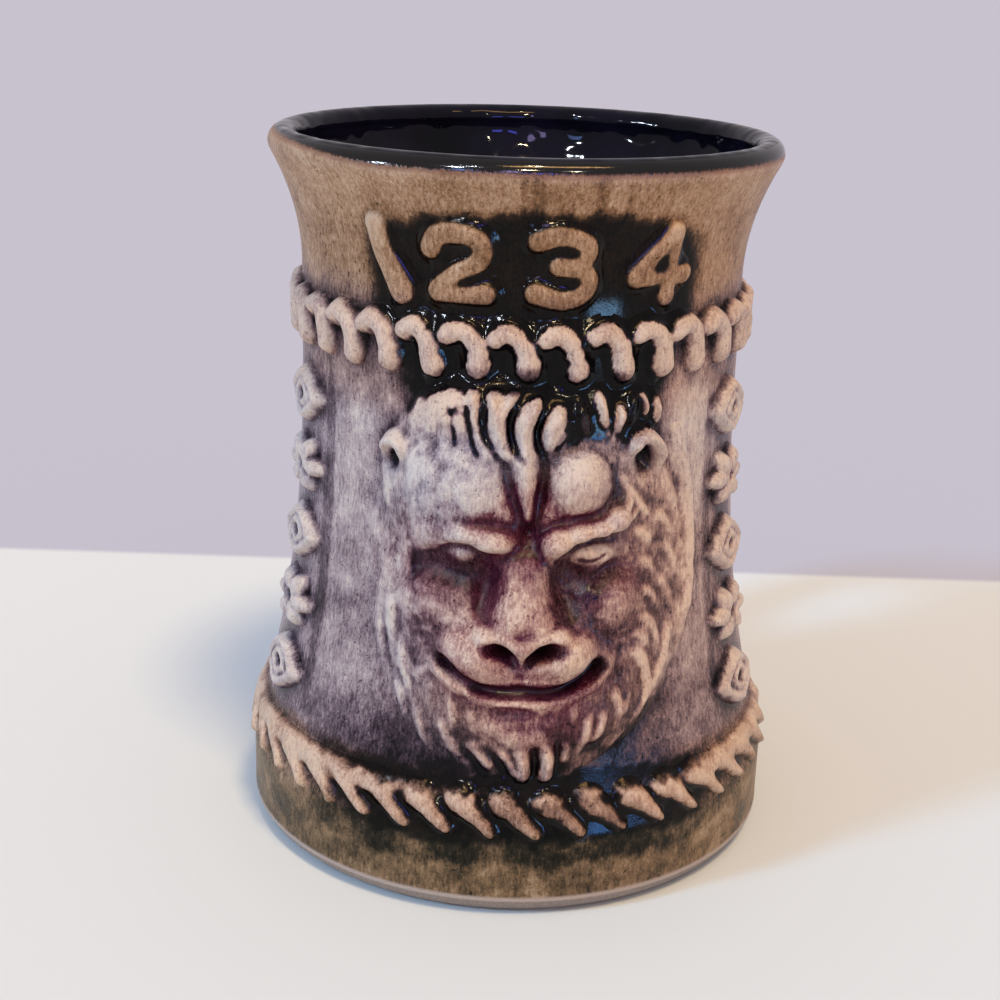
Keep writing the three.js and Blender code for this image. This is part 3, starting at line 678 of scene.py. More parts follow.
# places where it was left thick: x, z, half width, half height, amount
thickGlaze = [
    (3, 110.6, 33, 11.5, 1.3),
    (3, 104.4, 30, 4.2, 0.6),
    (4, 95.5, 27, 7.0, 0.75),
    (16, 89.4, 11, 6.5, 0.95),
    (0, 91.0, 15, 4.0, 0.45),
    (13, 24.4, 23, 1.9, 0.50),
    (-12, 24.4, 15, 1.5, 0.30),
    (-22, 29, 18, 6.0, 0.17),
    (4, 18, 36, 4.5, 0.55),
    (4, 13.2, 44, 3.6, 0.30),
    (0, 7, 150, 6, 0.08),
    (-17.8, 90.6, 5.0, 3.6, 0.35),
    (-26, 30, 26, 8.0, 0.13),
    (32, 32, 20, 9.0, 0.15),
    (3, 32, 27, 8.0, 0.12),
    (-14, 38, 11, 12, 0.10),
    (36.5, 52, 2.5, 20, 0.10),
    (-38.5, 60, 2, 34, 0.30),
    (40.5, 60, 1.6, 34, 0.24),
]
# soft veils of glaze on the wall and the face; a negative amount is a place wiped cleaner
thinGlaze = [
    (10, 25.2, 28, 5.0, 0.20),
    (-18, 25.2, 24, 5.6, 0.08),
    (-30, 52, 10, 16, 0.05),
    (-34, 90, 10, 10, 0.05),
    (34, 8, 12, 7, -0.14),
    (-34, 18, 12, 7, -0.10),
    (2, 34.6, 6, 4.0, 0.10),
    (-9, 78, 12, 13, -0.04),
    (-24, 72, 12, 22, -0.08),
    (-34, 76, 8, 14, -0.06),
    (34, 80, 10, 16, -0.28),
    (36, 52, 8, 20, -0.14),
    (-34, 25.6, 14, 3.0, -0.10),
    (0, 124, 140, 7, -0.06),
    (2, 88.0, 9, 5, -0.24),
    (12.2, 64.8, 4.0, 3.0, -0.38),
    (-8.2, 64.8, 4.0, 2.4, 0.04),
    (-5, 48.5, 8, 5, 0.12),
    (8, 48.5, 7, 5, 0.04),
    (12, 69.6, 8, 2.6, -0.10),
    (-10, 34, 12, 9, -0.12),
    (1.8, 58, 6, 9, 0.10),
    (-1.6, 59, 3, 9, 0.10),
    (1.8, 51.6, 7, 3.4, -0.02),
    (2, 47.5, 14, 6, 0.06),
    (2, 40.6, 9, 1.6, 0.10),
    (17, 57, 6, 7, 0.24),
    (-7, 69.6, 9, 3, 0.16),
    (11, 70.0, 8, 3, 0.05),
    (-9.6, 60.8, 10, 5.0, 0.46),
    (-3.8, 61.6, 4.4, 6, 0.34),
    (-12.5, 61.6, 5, 3.4, 0.16),
    (9.6, 59.2, 5.5, 8.0, 0.46),
    (14, 61.2, 8, 4.0, 0.22),
    (2.4, 67.0, 4.4, 6, 0.30),
    (-17, 68, 6, 9, 0.12),
    (-13, 50, 5, 7, 0.16),
    (16.5, 48, 4.5, 7, 0.22),
    (1.9, 42.6, 9, 1.9, 0.40),
    (0.8, 38.6, 4.2, 1.8, 0.50),
    (14, 37, 10, 9, 0.36),
    (24, 62, 8, 20, 0.03),
    (-10, 35, 9, 8, 0.24),
    (12, 41, 8, 4, 0.12),
    (-9, 41, 8, 4, 0.12),
]
# places where it turns maroon: x, z, half width, half height, amount
maroon = [
    (1.8, 71, 6.5, 10, 0.85),
    (-2.8, 70.4, 5.6, 3.4, 0.8),
    (11, 71.4, 7, 2.6, 0.6),
    (-1.5, 58, 6, 11, 0.75),
    (3.5, 55, 5, 8, 0.30),
    (-4, 49, 8, 6, 0.6),
    (8, 50, 6, 5, 0.25),
    (2, 43, 15, 5, 0.7),
    (-16, 62, 10, 12, 0.35),
    (6, 36, 12, 6, 0.35),
    (3, 56, 26, 28, 0.46),
    (15, 60, 8, 6, 0.25),
    (4, 36, 10, 6, 0.10),
]
# warm is pinkish brown, the rest is a cool lavender grey
warmth = [
    # the warmth on the right of the head, here and in the last entry, is partly the glaze's own pinkish
    # brown and partly painted warm light from the room light on that side
    (28, 52, 40, 50, 0.40),
    (36, 80, 12, 16, -0.24),
    (3, 56, 20, 30, 0.40),
    (0, 99, 140, 16, 0.6),
    (0, 19, 140, 9, 0.7),
    (3, 113, 36, 14, 0.6),
    (-9, 76, 11, 12, -0.30),
    (6, 37, 26, 14, 0.55),
    (26, 62, 12, 24, 0.40),
]
# lines where glaze ran together: path, half widths, amount
glazeLines = [
    ([(-3.4, 50.1), (-1.6, 49.8), (0.1, 48.6), (0.9, 47.2)], (1.7, 0.8), 0.9),
    ([(7.4, 50.4), (5.2, 49.8), (3.4, 48.6), (2.6, 47.2)], (1.9, 0.9), 0.9),
    ([(-10.2, 47.0), (-8.2, 45.4)], (1.5, 0.9), 1.0),
    ([(-8.2, 45.4), (-5.9, 43.9), (-4.2, 42.7)], (0.7, 0.9), 0.6),
    ([(13.7, 46.3), (12.5, 44.8), (10.9, 43.6), (8.8, 42.7)], (1.7, 1.0), 1.0),
    ([(-4.6, 42.6), (-1.4, 42.2), (2.0, 42.4), (5.4, 42.1), (9.2, 42.7)], (1.35, 1.35), 0.95),
    (creases["leftFurrow"], (0.9, 1.3), 0.45),
    (creases["rightFurrow"], (0.9, 1.4), 0.5),
    (creases["overRightBrow"][:3], (1.3, 0.7), 0.24),
    ([(-4.6, 71.7), (-2.6, 71.1), (-0.8, 70.3), (1.6, 69.1)], (1.6, 1.8), 0.16),
    (creases["rightLid"], (0.7, 0.6), 0.45),
    (creases["leftLid"], (0.6, 0.9), 0.25),
    (creases["rightSlit"], (0.6, 0.5), 0.8),
    (partings[0][0], (0.8, 0.6), 1.0),
    ([(0.7, 92.4)] + partings[1][0][1:], (0.85, 0.7), 1.0),
    (partings[2][0], (0.85, 0.7), 1.0),
    ([(8.6, 90.2), (7.6, 86.4), (6.2, 83.2)], (1.1, 0.8), 0.9),
    (partings[4][0], (0.45, 0.6), 0.8),
    (partings[3][0], (0.4, 0.5), 0.7),
    ([(6.4, 63.5), (7.9, 59.4), (9.2, 54.4)], (2.2, 1.6), 0.20),
]
# where it stayed thick in the mouth and the nostrils, whatever the sponge reached: path, half widths
mouthLines = [
    ([(-10.2, 47.0), (-8.2, 45.4)], (1.5, 0.9)),
    ([(-8.2, 45.4), (-5.9, 43.9), (-4.2, 42.7)], (0.6, 0.9)),
    ([(13.7, 46.3), (12.5, 44.8), (10.9, 43.6), (8.8, 42.7)], (1.7, 1.0)),
    ([(-4.6, 42.5), (-1.4, 42.1), (2.0, 42.3), (5.4, 42.0), (9.2, 42.6)], (1.4, 1.4)),
    ([(-1.6, 49.9), (0.1, 48.7)], (1.3, 0.8)),
    ([(5.4, 49.9), (3.4, 48.7)], (1.5, 0.9)),
]
# how dark the hollows of the face and its beard may get: the sponge reached them all
brownHollows = [
    (3, 58, 20, 26, 0.23),
    (3, 58, 34, 30, 0.08),
    (26, 58, 9, 24, 0.22),
    (3, 36, 20, 8.6, 0.12),
    (-17, 35, 9, 9, 0.20),
]


def spots(places, power, wander=0.0):
    # a wandering edge follows the streaks
    gridX, gridZ = np.meshgrid(chartX, chartZ)
    gridZ = gridZ + wander * streaks
    total = np.zeros_like(clay)
    for x, z, halfWidth, halfHeight, amount in places:
        apart = np.abs((gridX - x) / halfWidth) ** power + np.abs((gridZ - z) / halfHeight) ** power
        total += amount * smooth(0, 0.8, 1 - apart)
    return total


# the sponge cleaned all the small relief, and only brushed over the head, the lower rope and the numerals
cleanedWell = 1 - spots([(3, 56, 34, 32, 0.75), (0, 17, 150, 7, 0.22), (3, 112.6, 34, 10, 0.20)], 4)
cleanedWell -= spots([(10, 25.2, 50, 2.8, 0.85), (7, 17, 16, 9, 0.34)], 2, 0.45)
# it did not reach down between the locks of hair
betweenLocks = [(10.4, 87.6, 3.2, 5.0, 0.9), (19.6, 88.8, 2.4, 3.6, 1.0), (3, 94.4, 20, 2.6, 0.7)]
cleanedWell -= spots(betweenLocks, 2) * (0.8 + 0.3 * dents)
cleanedWell = np.clip(cleanedWell, 0, 1)


def wipeGlaze():
    groove, relief, broad = (clay - blur(clay, reach) for reach in (0.6, 1.7, 4.5))
    ridge = relief / glaze["ridgeHeight"]
    tone = glaze["wall"] + glaze["ridgeGain"] * np.clip(ridge, 0, 1)
    tone += glaze["broadGain"] * np.clip(broad / glaze["broadHeight"], -1, 1)
    tone -= glaze["hollowLoss"] * np.clip(-ridge, 0, 1)
    tone -= spots(thinGlaze, 2)
    tone -= spots(thickGlaze, 3, 0.22)
    for path, width, amount in glazeLines:
        rows, columns, share = stroke(path, width, 1.0, 0.1, 0.1)
        tone[rows, columns] -= amount * share
    for path, width, rise in strands:
        rows, columns, share = stroke(path, (1.1 * width, 0.6 * width), 0.8, 0.25, 0.35)
        tone[rows, columns] += 0.3 * rise * share
    tone += 0.035 * dents + 0.02 * grit
    # what stands well proud of its surroundings is wiped clean whatever lies round it, with a ragged edge
    ragged = 0.10 * grit + 0.08 * dents
    standing = smooth(0.35, 1.35, clay + ragged) * smooth(-0.15, 0.25, relief + ragged)
    tone += np.maximum(glaze["cleaned"] - tone, 0) * standing * cleanedWell
    tone -= glaze["grooveLoss"] * np.clip(-groove / glaze["grooveDepth"], 0, 1) ** 1.2
    tone = np.maximum(tone, spots(brownHollows, 6))
    for path, width in mouthLines:
        rows, columns, share = stroke(path, width, 0.8)
        tone[rows, columns] *= 1 - 0.6 * share
    return np.clip(tone, glaze["thickest"], 0.95)


wiped = wipeGlaze()
blush = np.clip(spots(maroon, 2), 0, 1)
warm = np.clip(0.2 + spots(warmth, 2), 0, 1)
print("glaze wiped")

# wet glaze fills the corners round the relief, so its surface bends up to the clay there
pool = {"reach": 1.1, "fill": 0.85}
pooled = blur(clay, pool["reach"])
clay += pool["fill"] * np.clip(spots(thickGlaze, 3), 0, 1) * np.maximum(pooled - clay, 0)


def sample(field, x, z):
    column = (x - chartX[0]) / columnStep
    row = np.clip((z - chartZ[0]) / chart["step"], 0, len(chartZ) - 1.001)
    left, low = np.floor(column).astype(int), np.floor(row).astype(int)
    u, v = column - left, row - low
    count = chart["columns"]
    a, b = field[low, left % count], field[low, (left + 1) % count]
    c, d = field[low + 1, left % count], field[low + 1, (left + 1) % count]
    return (a * (1 - u) + b * u) * (1 - v) + (c * (1 - u) + d * u) * v


def addAttribute(mesh, name, values):
    attribute = mesh.attributes.new(name, "FLOAT", "POINT")
    attribute.data.foreach_set("value", values.astype(np.float32))


def paintFromMap(obj):
    mesh = obj.data
    places = np.zeros(len(mesh.vertices) * 3)
    mesh.vertices.foreach_get("co", places)
    places = places.reshape(-1, 3) / mm
    x = chart["radius"] * np.arctan2(places[:, 0], -places[:, 1])
    for name, field in (("wiped", wiped), ("blush", blush), ("warm", warm)):
        addAttribute(mesh, name, sample(field, x, places[:, 2]))


def finishPiece(bm, name, materials, nodes):
    mesh = bpy.data.meshes.new(name)
    for face in bm.faces:
        face.smooth = True
    bm.to_mesh(mesh)
    bm.free()
    obj = bpy.data.objects.new(name, mesh)
    bpy.context.scene.collection.objects.link(obj)
    for material in materials:
        mesh.materials.append(material)
    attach(obj, "root")
    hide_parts(*nodes)
    return obj


def addNode(tree, kind, inputs=None, stops=None, out=0, **settings):
    # stops are the places and colours of a colour ramp; out is the output that is handed back
    node = tree.nodes.new("ShaderNode" + kind)
    for name, value in settings.items():
        setattr(node, name, value)
    for name, value in (inputs or {}).items():
        if isinstance(value, bpy.types.NodeSocket):
            tree.links.new(value, node.inputs[name])
        else:
            node.inputs[name].default_value = value
    if stops:
        ramp = node.color_ramp
        while len(ramp.elements) < len(stops):
            ramp.elements.new(0.5)
        for element, (place, colour) in zip(ramp.elements, stops):
            element.position = place
            element.color = linear(colour)
    return node.outputs[out] if node.outputs else None


def newMaterial(name):
    material = bpy.data.materials.new(name)
    material.use_nodes = True
    tree = material.node_tree
    tree.nodes.clear()
    surface = addNode(tree, "BsdfPrincipled")
    addNode(tree, "OutputMaterial", {"Surface": surface})
    return material, tree, surface.node


# Iron-brown stoneware glaze, poured and then wiped with a sponge while wet.
# It looks pale and satin where the clay stands out, and black and wet where it pooled.
coolStops = [
    (0.0, "#040406"), (0.15, "#17121A"), (0.32, "#453843"), (0.5, "#73626C"), (0.7, "#A29196"),
    (0.85, "#C0B0AF"), (1.0, "#DBCDC4"),
]
warmStops = [
    (0.0, "#060505"), (0.15, "#1A1313"), (0.32, "#4A3636"), (0.5, "#765751"), (0.7, "#A48074"),
    (0.85, "#C39E8E"), (1.0, "#E2C3AC"),
]
maroonStops = [(0.0, "#0E050A"), (0.3, "#3E1523"), (0.55, "#6F3743"), (0.8, "#AC7870"), (1.0, "#D3AC9A")]
tanStops = [(0.0, "#060505"), (0.3, "#3E2A1E"), (0.6, "#91694A"), (0.8, "#BA9272"), (1.0, "#D4B498")]
oliveStops = [(0.0, "#0A0B08"), (0.3, "#2E281E"), (0.6, "#69533C"), (0.8, "#8E7052"), (1.0, "#AC9074")]
# heights in millimetres over which a colour comes in, how much of it there is at most, and how
glazeEdges = {
    "olive": (18.5, 13.5, 1.0, "SMOOTHSTEP"),    # the foot, which was dipped and left
    "tan": (101, 110, 1.0, "SMOOTHSTEP"),        # under the lip and on the numerals
    "rope": (26, 24, 0.5, "LINEAR"),             # tan on the lower rope
    # the pale line over the chamfer is partly clay worn bare and partly a painted highlight along the edge
    "rubbedAndHighlit": (4.2, 3.7, 1.0, "LINEAR"),         # the edge over the chamfer, worn down to the clay
    "rust": (126.8, 127.6, 0.7, "SMOOTHSTEP"),   # thin line under the dark glaze of the lip
    "lip": (127.5, 128.1, 1.0, "SMOOTHSTEP"),    # the lining's glaze, which runs over the lip
}


def makeWipedGlaze(name, specular):
    material, tree, shader = newMaterial(name)
    place = addNode(tree, "TexCoord", out="Object")
    wipe, blushShare, warmShare = (
        addNode(tree, "Attribute", attribute_name=kind, out="Fac") for kind in ("wiped", "blush", "warm")
    )
    across = addNode(tree, "SeparateXYZ", {0: place}, out="X")
    height = addNode(tree, "SeparateXYZ", {0: place}, out="Z")
    stretched = addNode(tree, "Mapping", {"Vector": place, "Scale": (1900, 1900, 560)})
    noises = {
        # vector, scale, detail, roughness, share in the mottle
        "sponge": (stretched, 1.0, 3.0, 0.65, 0.80),   # its marks are 0.5 mm wide, three times as tall
        "grain": (place, 2600.0, 2.0, 0.7, 0.45),      # of the clay, 0.4 mm apart
        "cloud": (place, 140.0, 6.0, 0.72, 0.75),      # patches 7 mm across that break up into blotches
    }
    parts = {}
    mottle = 0.0
    for kind, (vector, scale, detail, roughness, share) in noises.items():
        pattern = {"Vector": vector, "Scale": scale, "Detail": detail, "Roughness": roughness}
        noise = addNode(tree, "TexNoise", pattern)
        parts[kind] = addNode(tree, "Math", {0: noise, 1: 0.5}, operation="SUBTRACT")
        mottle = addNode(tree, "Math", {0: parts[kind], 1: share, 2: mottle}, operation="MULTIPLY_ADD")
    # dark pits where the sponge left glaze in the pores, 1 mm apart
    pore = addNode(tree, "TexNoise", {"Vector": place, "Scale": 1100.0, "Detail": 3.0, "Roughness": 0.7})
    pit = addNode(tree, "MapRange", {"Value": pore, 1: 0.62, 2: 0.69})
    mottle = addNode(tree, "Math", {0: pit, 1: -0.30, 2: mottle}, operation="MULTIPLY_ADD")
    # thick glaze hides them all, and clay that was wiped clean shows few of them
    shown = addNode(tree, "MapRange", {"Value": wipe, 1: 0.0, 2: 0.35, 3: 0.15, 4: 1.0})
    clean = addNode(tree, "MapRange", {"Value": wipe, 1: 0.70, 2: 0.92, 3: 1.0, 4: 0.75})
    shown = addNode(tree, "Math", {0: shown, 1: clean}, operation="MULTIPLY")
    bareness = addNode(tree, "Math", {0: mottle, 1: shown, 2: wipe}, operation="MULTIPLY_ADD")
    # the edges between glazes wander with the clouds and the sponge, and at the lip's left end the black
    # glaze stops lower, a painted reflection
    edge = addNode(tree, "Math", {0: parts["cloud"], 1: 0.008, 2: height}, operation="MULTIPLY_ADD")
    edge = addNode(tree, "Math", {0: parts["sponge"], 1: 0.003, 2: edge}, operation="MULTIPLY_ADD")
    lipEdge = addNode(tree, "Math", {0: parts["sponge"], 1: 0.0012, 2: height}, operation="MULTIPLY_ADD")
    # painted reflection: the lip looks pale at its left end because its black glaze is drawn back there
    paintedLipReflection = addNode(tree, "MapRange", {"Value": across, 1: -0.026, 2: -0.044, 3: 0.0, 4: -0.0019})
    lipEdge = addNode(tree, "Math", {0: lipEdge, 1: paintedLipReflection}, operation="ADD")
    followed = {"rubbedAndHighlit": height, "rust": lipEdge, "lip": lipEdge}
    shares = {}
    for kind, (low, high, most, ease) in glazeEdges.items():
        limits = {"Value": followed.get(kind, edge), 1: low * mm, 2: high * mm, 4: most}
        shares[kind] = addNode(tree, "MapRange", limits, interpolation_type=ease)
    # the foot's glaze is blotchy
    blotch = addNode(tree, "Math", {0: parts["cloud"], 1: shares["olive"]}, operation="MULTIPLY")
    bareness = addNode(tree, "Math", {0: blotch, 1: bareness}, operation="ADD")
    # maroon where the glaze is neither thick nor wiped clean
    thin = addNode(tree, "MapRange", {"Value": bareness, 1: 1.1, 2: 0.45})
    redShare = addNode(tree, "Math", {0: blushShare, 1: thin}, operation="MULTIPLY")
    tanShare = addNode(tree, "Math", {0: shares["tan"], 1: shares["rope"]}, operation="MAXIMUM")
    layers = [
        (warmShare, warmStops),
        (redShare, maroonStops),
        (tanShare, tanStops),
        (shares["olive"], oliveStops),
        # pale edge over the chamfer: worn clay and a painted highlight
        (shares["rubbedAndHighlit"], "#B7A398"),
        (shares["rust"], "#7A4630"),
        (shares["lip"], "#100D0C"),
    ]
    colour = addNode(tree, "ValToRGB", {"Fac": bareness}, stops=coolStops)
    for share, over in layers:
        if isinstance(over, str):
            over = linear(over)
        else:
            over = addNode(tree, "ValToRGB", {"Fac": bareness}, stops=over)
        colour = addNode(tree, "Mix", {0: share, 6: colour, 7: over}, data_type="RGBA", out=2)
    # the more glaze, the smoother and wetter
    gloss = addNode(tree, "MapRange", {"Value": bareness, 1: 0.15, 2: 0.7, 3: 0.10, 4: 0.34})
    gloss = addNode(tree, "Mix", {0: shares["lip"], 2: gloss, 3: 0.08}, data_type="FLOAT")
    roughClay = addNode(tree, "Math", {0: parts["sponge"], 1: parts["grain"]}, operation="ADD")
    roughClay = addNode(tree, "Math", {0: pit, 1: -0.4, 2: roughClay}, operation="MULTIPLY_ADD")
    strength = addNode(tree, "MapRange", {"Value": bareness, 1: 0.1, 2: 0.6, 3: 0.04, 4: 0.6})
    strength = addNode(tree, "Mix", {0: shares["lip"], 2: strength, 3: 0.04}, data_type="FLOAT")
    bump = addNode(tree, "Bump", {"Height": roughClay, "Distance": 0.3 * mm, "Strength": strength})
    tree.links.new(colour, shader.inputs["Base Color"])
    tree.links.new(gloss, shader.inputs["Roughness"])
    tree.links.new(bump, shader.inputs["Normal"])
    shader.inputs["Specular IOR Level"].default_value = specular
    return material


tenmoku = {
    # lining: thick, black and wet, with slow ripples 7 mm apart where it ran
    "tone": {"Scale": 90.0, "Detail": 4.0},
    "stops": [(0.35, "#08080E"), (0.65, "#131020")],
    "roughness": 0.06,
    "specular": 0.14,
    "relief": {"Scale": 150.0, "Detail": 1.0},
    "depth": 1.6,
}
bareStoneware = {
    # under the foot: dry, sandy and grey-brown, with grains 0.6 mm apart
    "tone": {"Scale": 1800.0, "Detail": 3.0},
    "stops": [(0.3, "#84756D"), (0.7, "#A39389")],
    "roughness": 0.8,
    "specular": 0.5,
    "relief": {"Scale": 1800.0, "Detail": 3.0},
    "depth": 0.2,
}


def makeEvenFinish(name, finish):
    material, tree, shader = newMaterial(name)
    place = addNode(tree, "TexCoord", out="Object")
    tone = addNode(tree, "TexNoise", {"Vector": place, **finish["tone"]})
    relief = addNode(tree, "TexNoise", {"Vector": place, **finish["relief"]})
    bump = addNode(tree, "Bump", {"Height": relief, "Distance": finish["depth"] * mm, "Strength": 0.4})
    colour = addNode(tree, "ValToRGB", {"Fac": tone}, stops=finish["stops"])
    tree.links.new(colour, shader.inputs["Base Color"])
    tree.links.new(bump, shader.inputs["Normal"])
    shader.inputs["Roughness"].default_value = finish["roughness"]
    shader.inputs["Specular IOR Level"].default_value = finish["specular"]
    return material


wipedGlaze = makeWipedGlaze("wiped stoneware glaze", 0.12)
# the same glaze over the lip, where it is thickest and catches the light
lipGlaze = makeWipedGlaze("stoneware glaze over the lip", 0.38)
liningGlaze = makeEvenFinish("black tenmoku glaze", tenmoku)
bareClay = makeEvenFinish("bare stoneware", bareStoneware)
print("glazes mixed")


def cupProfile():
    foot, chamfer, roll = cup["footRadius"], cup["chamferWidth"], cup["roll"]
    # hollow and standing ring underneath, then the chamfer and the foot's soft edge
    edge = cup["chamferHeight"]
    points = [(0, 0.9), (foot - 9, 0.9), (foot - 7.6, 0.25), (foot - 6.6, 0), (foot - chamfer - 0.6, 0)]
    points += [(foot - 0.8 * chamfer, 0.5), (foot - 0.35 * chamfer, 1.7), (foot - 0.35, edge - 0.5)]
    points += [(foot - 0.02, edge - 0.1), (foot, edge + 0.3), (foot - 0.12, 4.2)]
    rows = round((flareEnd - 5) / cup["rowHeight"])
    for i in range(rows + 1):
        z = 5 + (flareEnd - 5) * i / rows
        points.append((float(wallRadius(z)) - 0.1 * (z < cup["footBand"]), z))
    for i in range(1, 24):
        angle = -lipAngle + (math.pi + 2 * lipAngle) * i / 24
        points.append((crestRadius + roll * math.cos(angle), lipCentre + roll * math.sin(angle)))
    # inside: wall, fillet and floor
    innerTop, innerLow = flareEnd - roll, cup["floor"] + cup["fillet"]
    for i in range(60):
        z = innerTop + (innerLow - innerTop) * i / 59
        points.append((float(wallRadius(z)) - cup["wall"], z))
    turned = float(wallRadius(innerLow)) - cup["wall"] - cup["fillet"]
    for i in range(1, 9):
        angle = -math.pi / 2 * i / 8
        points.append((turned + cup["fillet"] * math.cos(angle), innerLow + cup["fillet"] * math.sin(angle)))
    points += [(turned * 0.66, cup["floor"] - 0.1), (turned * 0.33, cup["floor"] - 0.1), (0, cup["floor"])]
    return points


def buildCup():
    bm = bmesh.new()
    corners = [bm.verts.new((r * mm, 0, z * mm)) for r, z in cupProfile()]
    lines = [bm.edges.new(pair) for pair in zip(corners, corners[1:])]
    bmesh.ops.spin(
        bm, geom=corners + lines, cent=(0, 0, 0), axis=(0, 0, 1), dvec=(0, 0, 0),
        angle=2 * math.pi, steps=cup["steps"], use_merge=True, use_duplicate=False,
    )
    bmesh.ops.remove_doubles(bm, verts=bm.verts, dist=1e-6)
    bmesh.ops.recalc_face_normals(bm, faces=bm.faces)
    for face in bm.faces:
        middle = face.calc_center_median() / mm
        radius = math.hypot(middle.x, middle.y)
        onLining = middle.z > cup["floor"] - 1 and radius < float(wallRadius(middle.z)) - 1
        if onLining or middle.z > lipCentre and radius < crestRadius:
            face.material_index = 1
        elif middle.z < cup["chamferHeight"]:
            face.material_index = 2
        elif middle.z > flareEnd:
            face.material_index = 3
    glazes = [wipedGlaze, liningGlaze, bareClay, lipGlaze]
    paintFromMap(finishPiece(bm, "cup", glazes, ["body"]))


buildCup()
print("cup turned")


def wrapGrid(bm, xLow, xHigh, zLow, zHigh):
    # a flat grid, laid on the wall at the clay's height; its border dips under the wall
    left, right = (round((edge - chartX[0]) / columnStep) for edge in (xLow, xHigh))
    low, high = (round((edge - chartZ[0]) / chart["step"]) for edge in (zLow, zHigh))
    columns, rows = np.arange(left, right + 1), np.arange(low, high + 1)
    bmesh.ops.create_grid(bm, x_segments=len(columns) - 1, y_segments=len(rows) - 1, size=0.5)
    flat = np.array([v.co for v in bm.verts])
    i = columns[np.rint((flat[:, 0] + 0.5) * (len(columns) - 1)).astype(int)]
    j = rows[np.rint((flat[:, 1] + 0.5) * (len(rows) - 1)).astype(int)]
    height = clay[j, i % chart["columns"]]
    height = height - 0.3 * smooth(0.35, 0.05, height)
    z = chartZ[j]
    angle = (i - chart["columns"] / 2) * columnStep / chart["radius"]
    radius = np.minimum(wallRadius(z) + height, cup["greatestRadius"])
    for v, r, a, h in zip(bm.verts, radius, angle, z):
        v.co = (r * mm * math.sin(a), -r * mm * math.cos(a), h * mm)


def sinkBorder(bm, depth=1.2):
    # a side with a sharp edge goes to one depth under the bare wall, however high the clay stands
    border = [e for e in bm.edges if e.is_boundary]
    for edge in border:
        edge.smooth = False
    for v in bmesh.ops.extrude_edge_only(bm, edges=border)["geom"]:
        if isinstance(v, bmesh.types.BMVert):
            share = (float(wallRadius(v.co.z / mm)) - depth) * mm / math.hypot(v.co.x, v.co.y)
            v.co.x *= share
            v.co.y *= share
    return [e for e in bm.edges if e.is_boundary]


def buildPatch(name, x, z, halfWidth, halfHeight):
    bm = bmesh.new()
    wrapGrid(bm, x - halfWidth, x + halfWidth, z - halfHeight, z + halfHeight)
    front = list(bm.faces)
    rim = sinkBorder(bm)
    # the back is a coarser grid inside the wall
    backParts = 24
    made = bmesh.ops.create_grid(bm, x_segments=backParts, y_segments=backParts, size=0.5)["verts"]
    for v in made:
        angle = (x + 2 * v.co.x * halfWidth) / chart["radius"]
        height = z + 2 * v.co.y * halfHeight
        radius = float(wallRadius(height)) - 1.5
        v.co = (radius * mm * math.sin(angle), -radius * mm * math.cos(angle), height * mm)
    backRim = [e for v in made for e in v.link_edges if e.is_boundary]
    bmesh.ops.bridge_loops(bm, edges=rim + list(set(backRim)))
    bmesh.ops.recalc_face_normals(bm, faces=bm.faces)
    middle = front[len(front) // 2]
    if middle.normal.dot(middle.calc_center_median() * Vector((1, 1, 0))) < 0:
        bmesh.ops.reverse_faces(bm, faces=bm.faces)
    paintFromMap(finishPiece(bm, name, [wipedGlaze], [name]))


def buildRopeRing(name, rope):
    bm = bmesh.new()
    wrapGrid(bm, chartX[0], chartX[0] + around, rope["low"], rope["high"])
    bmesh.ops.remove_doubles(bm, verts=bm.verts, dist=1e-6)
    bmesh.ops.bridge_loops(bm, edges=sinkBorder(bm))
    bmesh.ops.recalc_face_normals(bm, faces=bm.faces)
    paintFromMap(finishPiece(bm, name, [wipedGlaze], [name]))


buildPatch("lion_mask", 3, 58.65, 35.2, 33.65)
print("lion pressed")
buildRopeRing("upper_rope", upperRope)
buildRopeRing("lower_rope", lowerRope)
print("ropes built")
for i, (left, right) in enumerate(numerals["edges"]):
    middle, halfWidth = (left + right) / 2, (right - left) / 2
    name = f"numeral_{i + 1}"
    buildPatch(name, middle, numerals["centre"], halfWidth, numerals["halfHeight"])
for side, sign in (("left", -1), ("right", 1)):
    for i in range(ornaments["count"]):
        name = f"{side}_ornament_{i + 1}"
        x, z, halfHeight = sign * ornaments["centre"], ornamentHeight(i), ornamentPitch / 2 - 0.1
        buildPatch(name, x, z, ornaments["halfWidth"] + 0.9, halfHeight)
print("numerals and ornaments built")

# Handle: an ear-shaped loop of pulled clay, pressed onto the wall at both ends
handle = {
    "reach": 38,
    "width": 19,
    "thickness": 10.5,
    "margin": 2.5,
    "sides": 40,
    "flare": 0.32,
    "flareReach": 5,
}


def handleRoute():
    waist, thick = cup["waistRadius"], handle["thickness"]
    outermost = waist + handle["reach"] - thick / 2 - 0.1
    top = ornaments["wallHigh"] - handle["margin"] - thick / 2
    bottom = ornaments["wallLow"] + handle["margin"] + thick / 2
    rise = top - bottom
    points = [
        (waist - 2, top - 0.8),
        (waist + 6, top),
        (outermost - 9, top - 1.5),
        (outermost, top - 0.3 * rise),
        (outermost - 4, bottom + 0.32 * rise),
        (outermost - 18, bottom + 0.06 * rise),
        (waist + 6, bottom + 0.2),
        (waist + 1.5, bottom + 0.6),
    ]
    return smoothPath(points, 10)


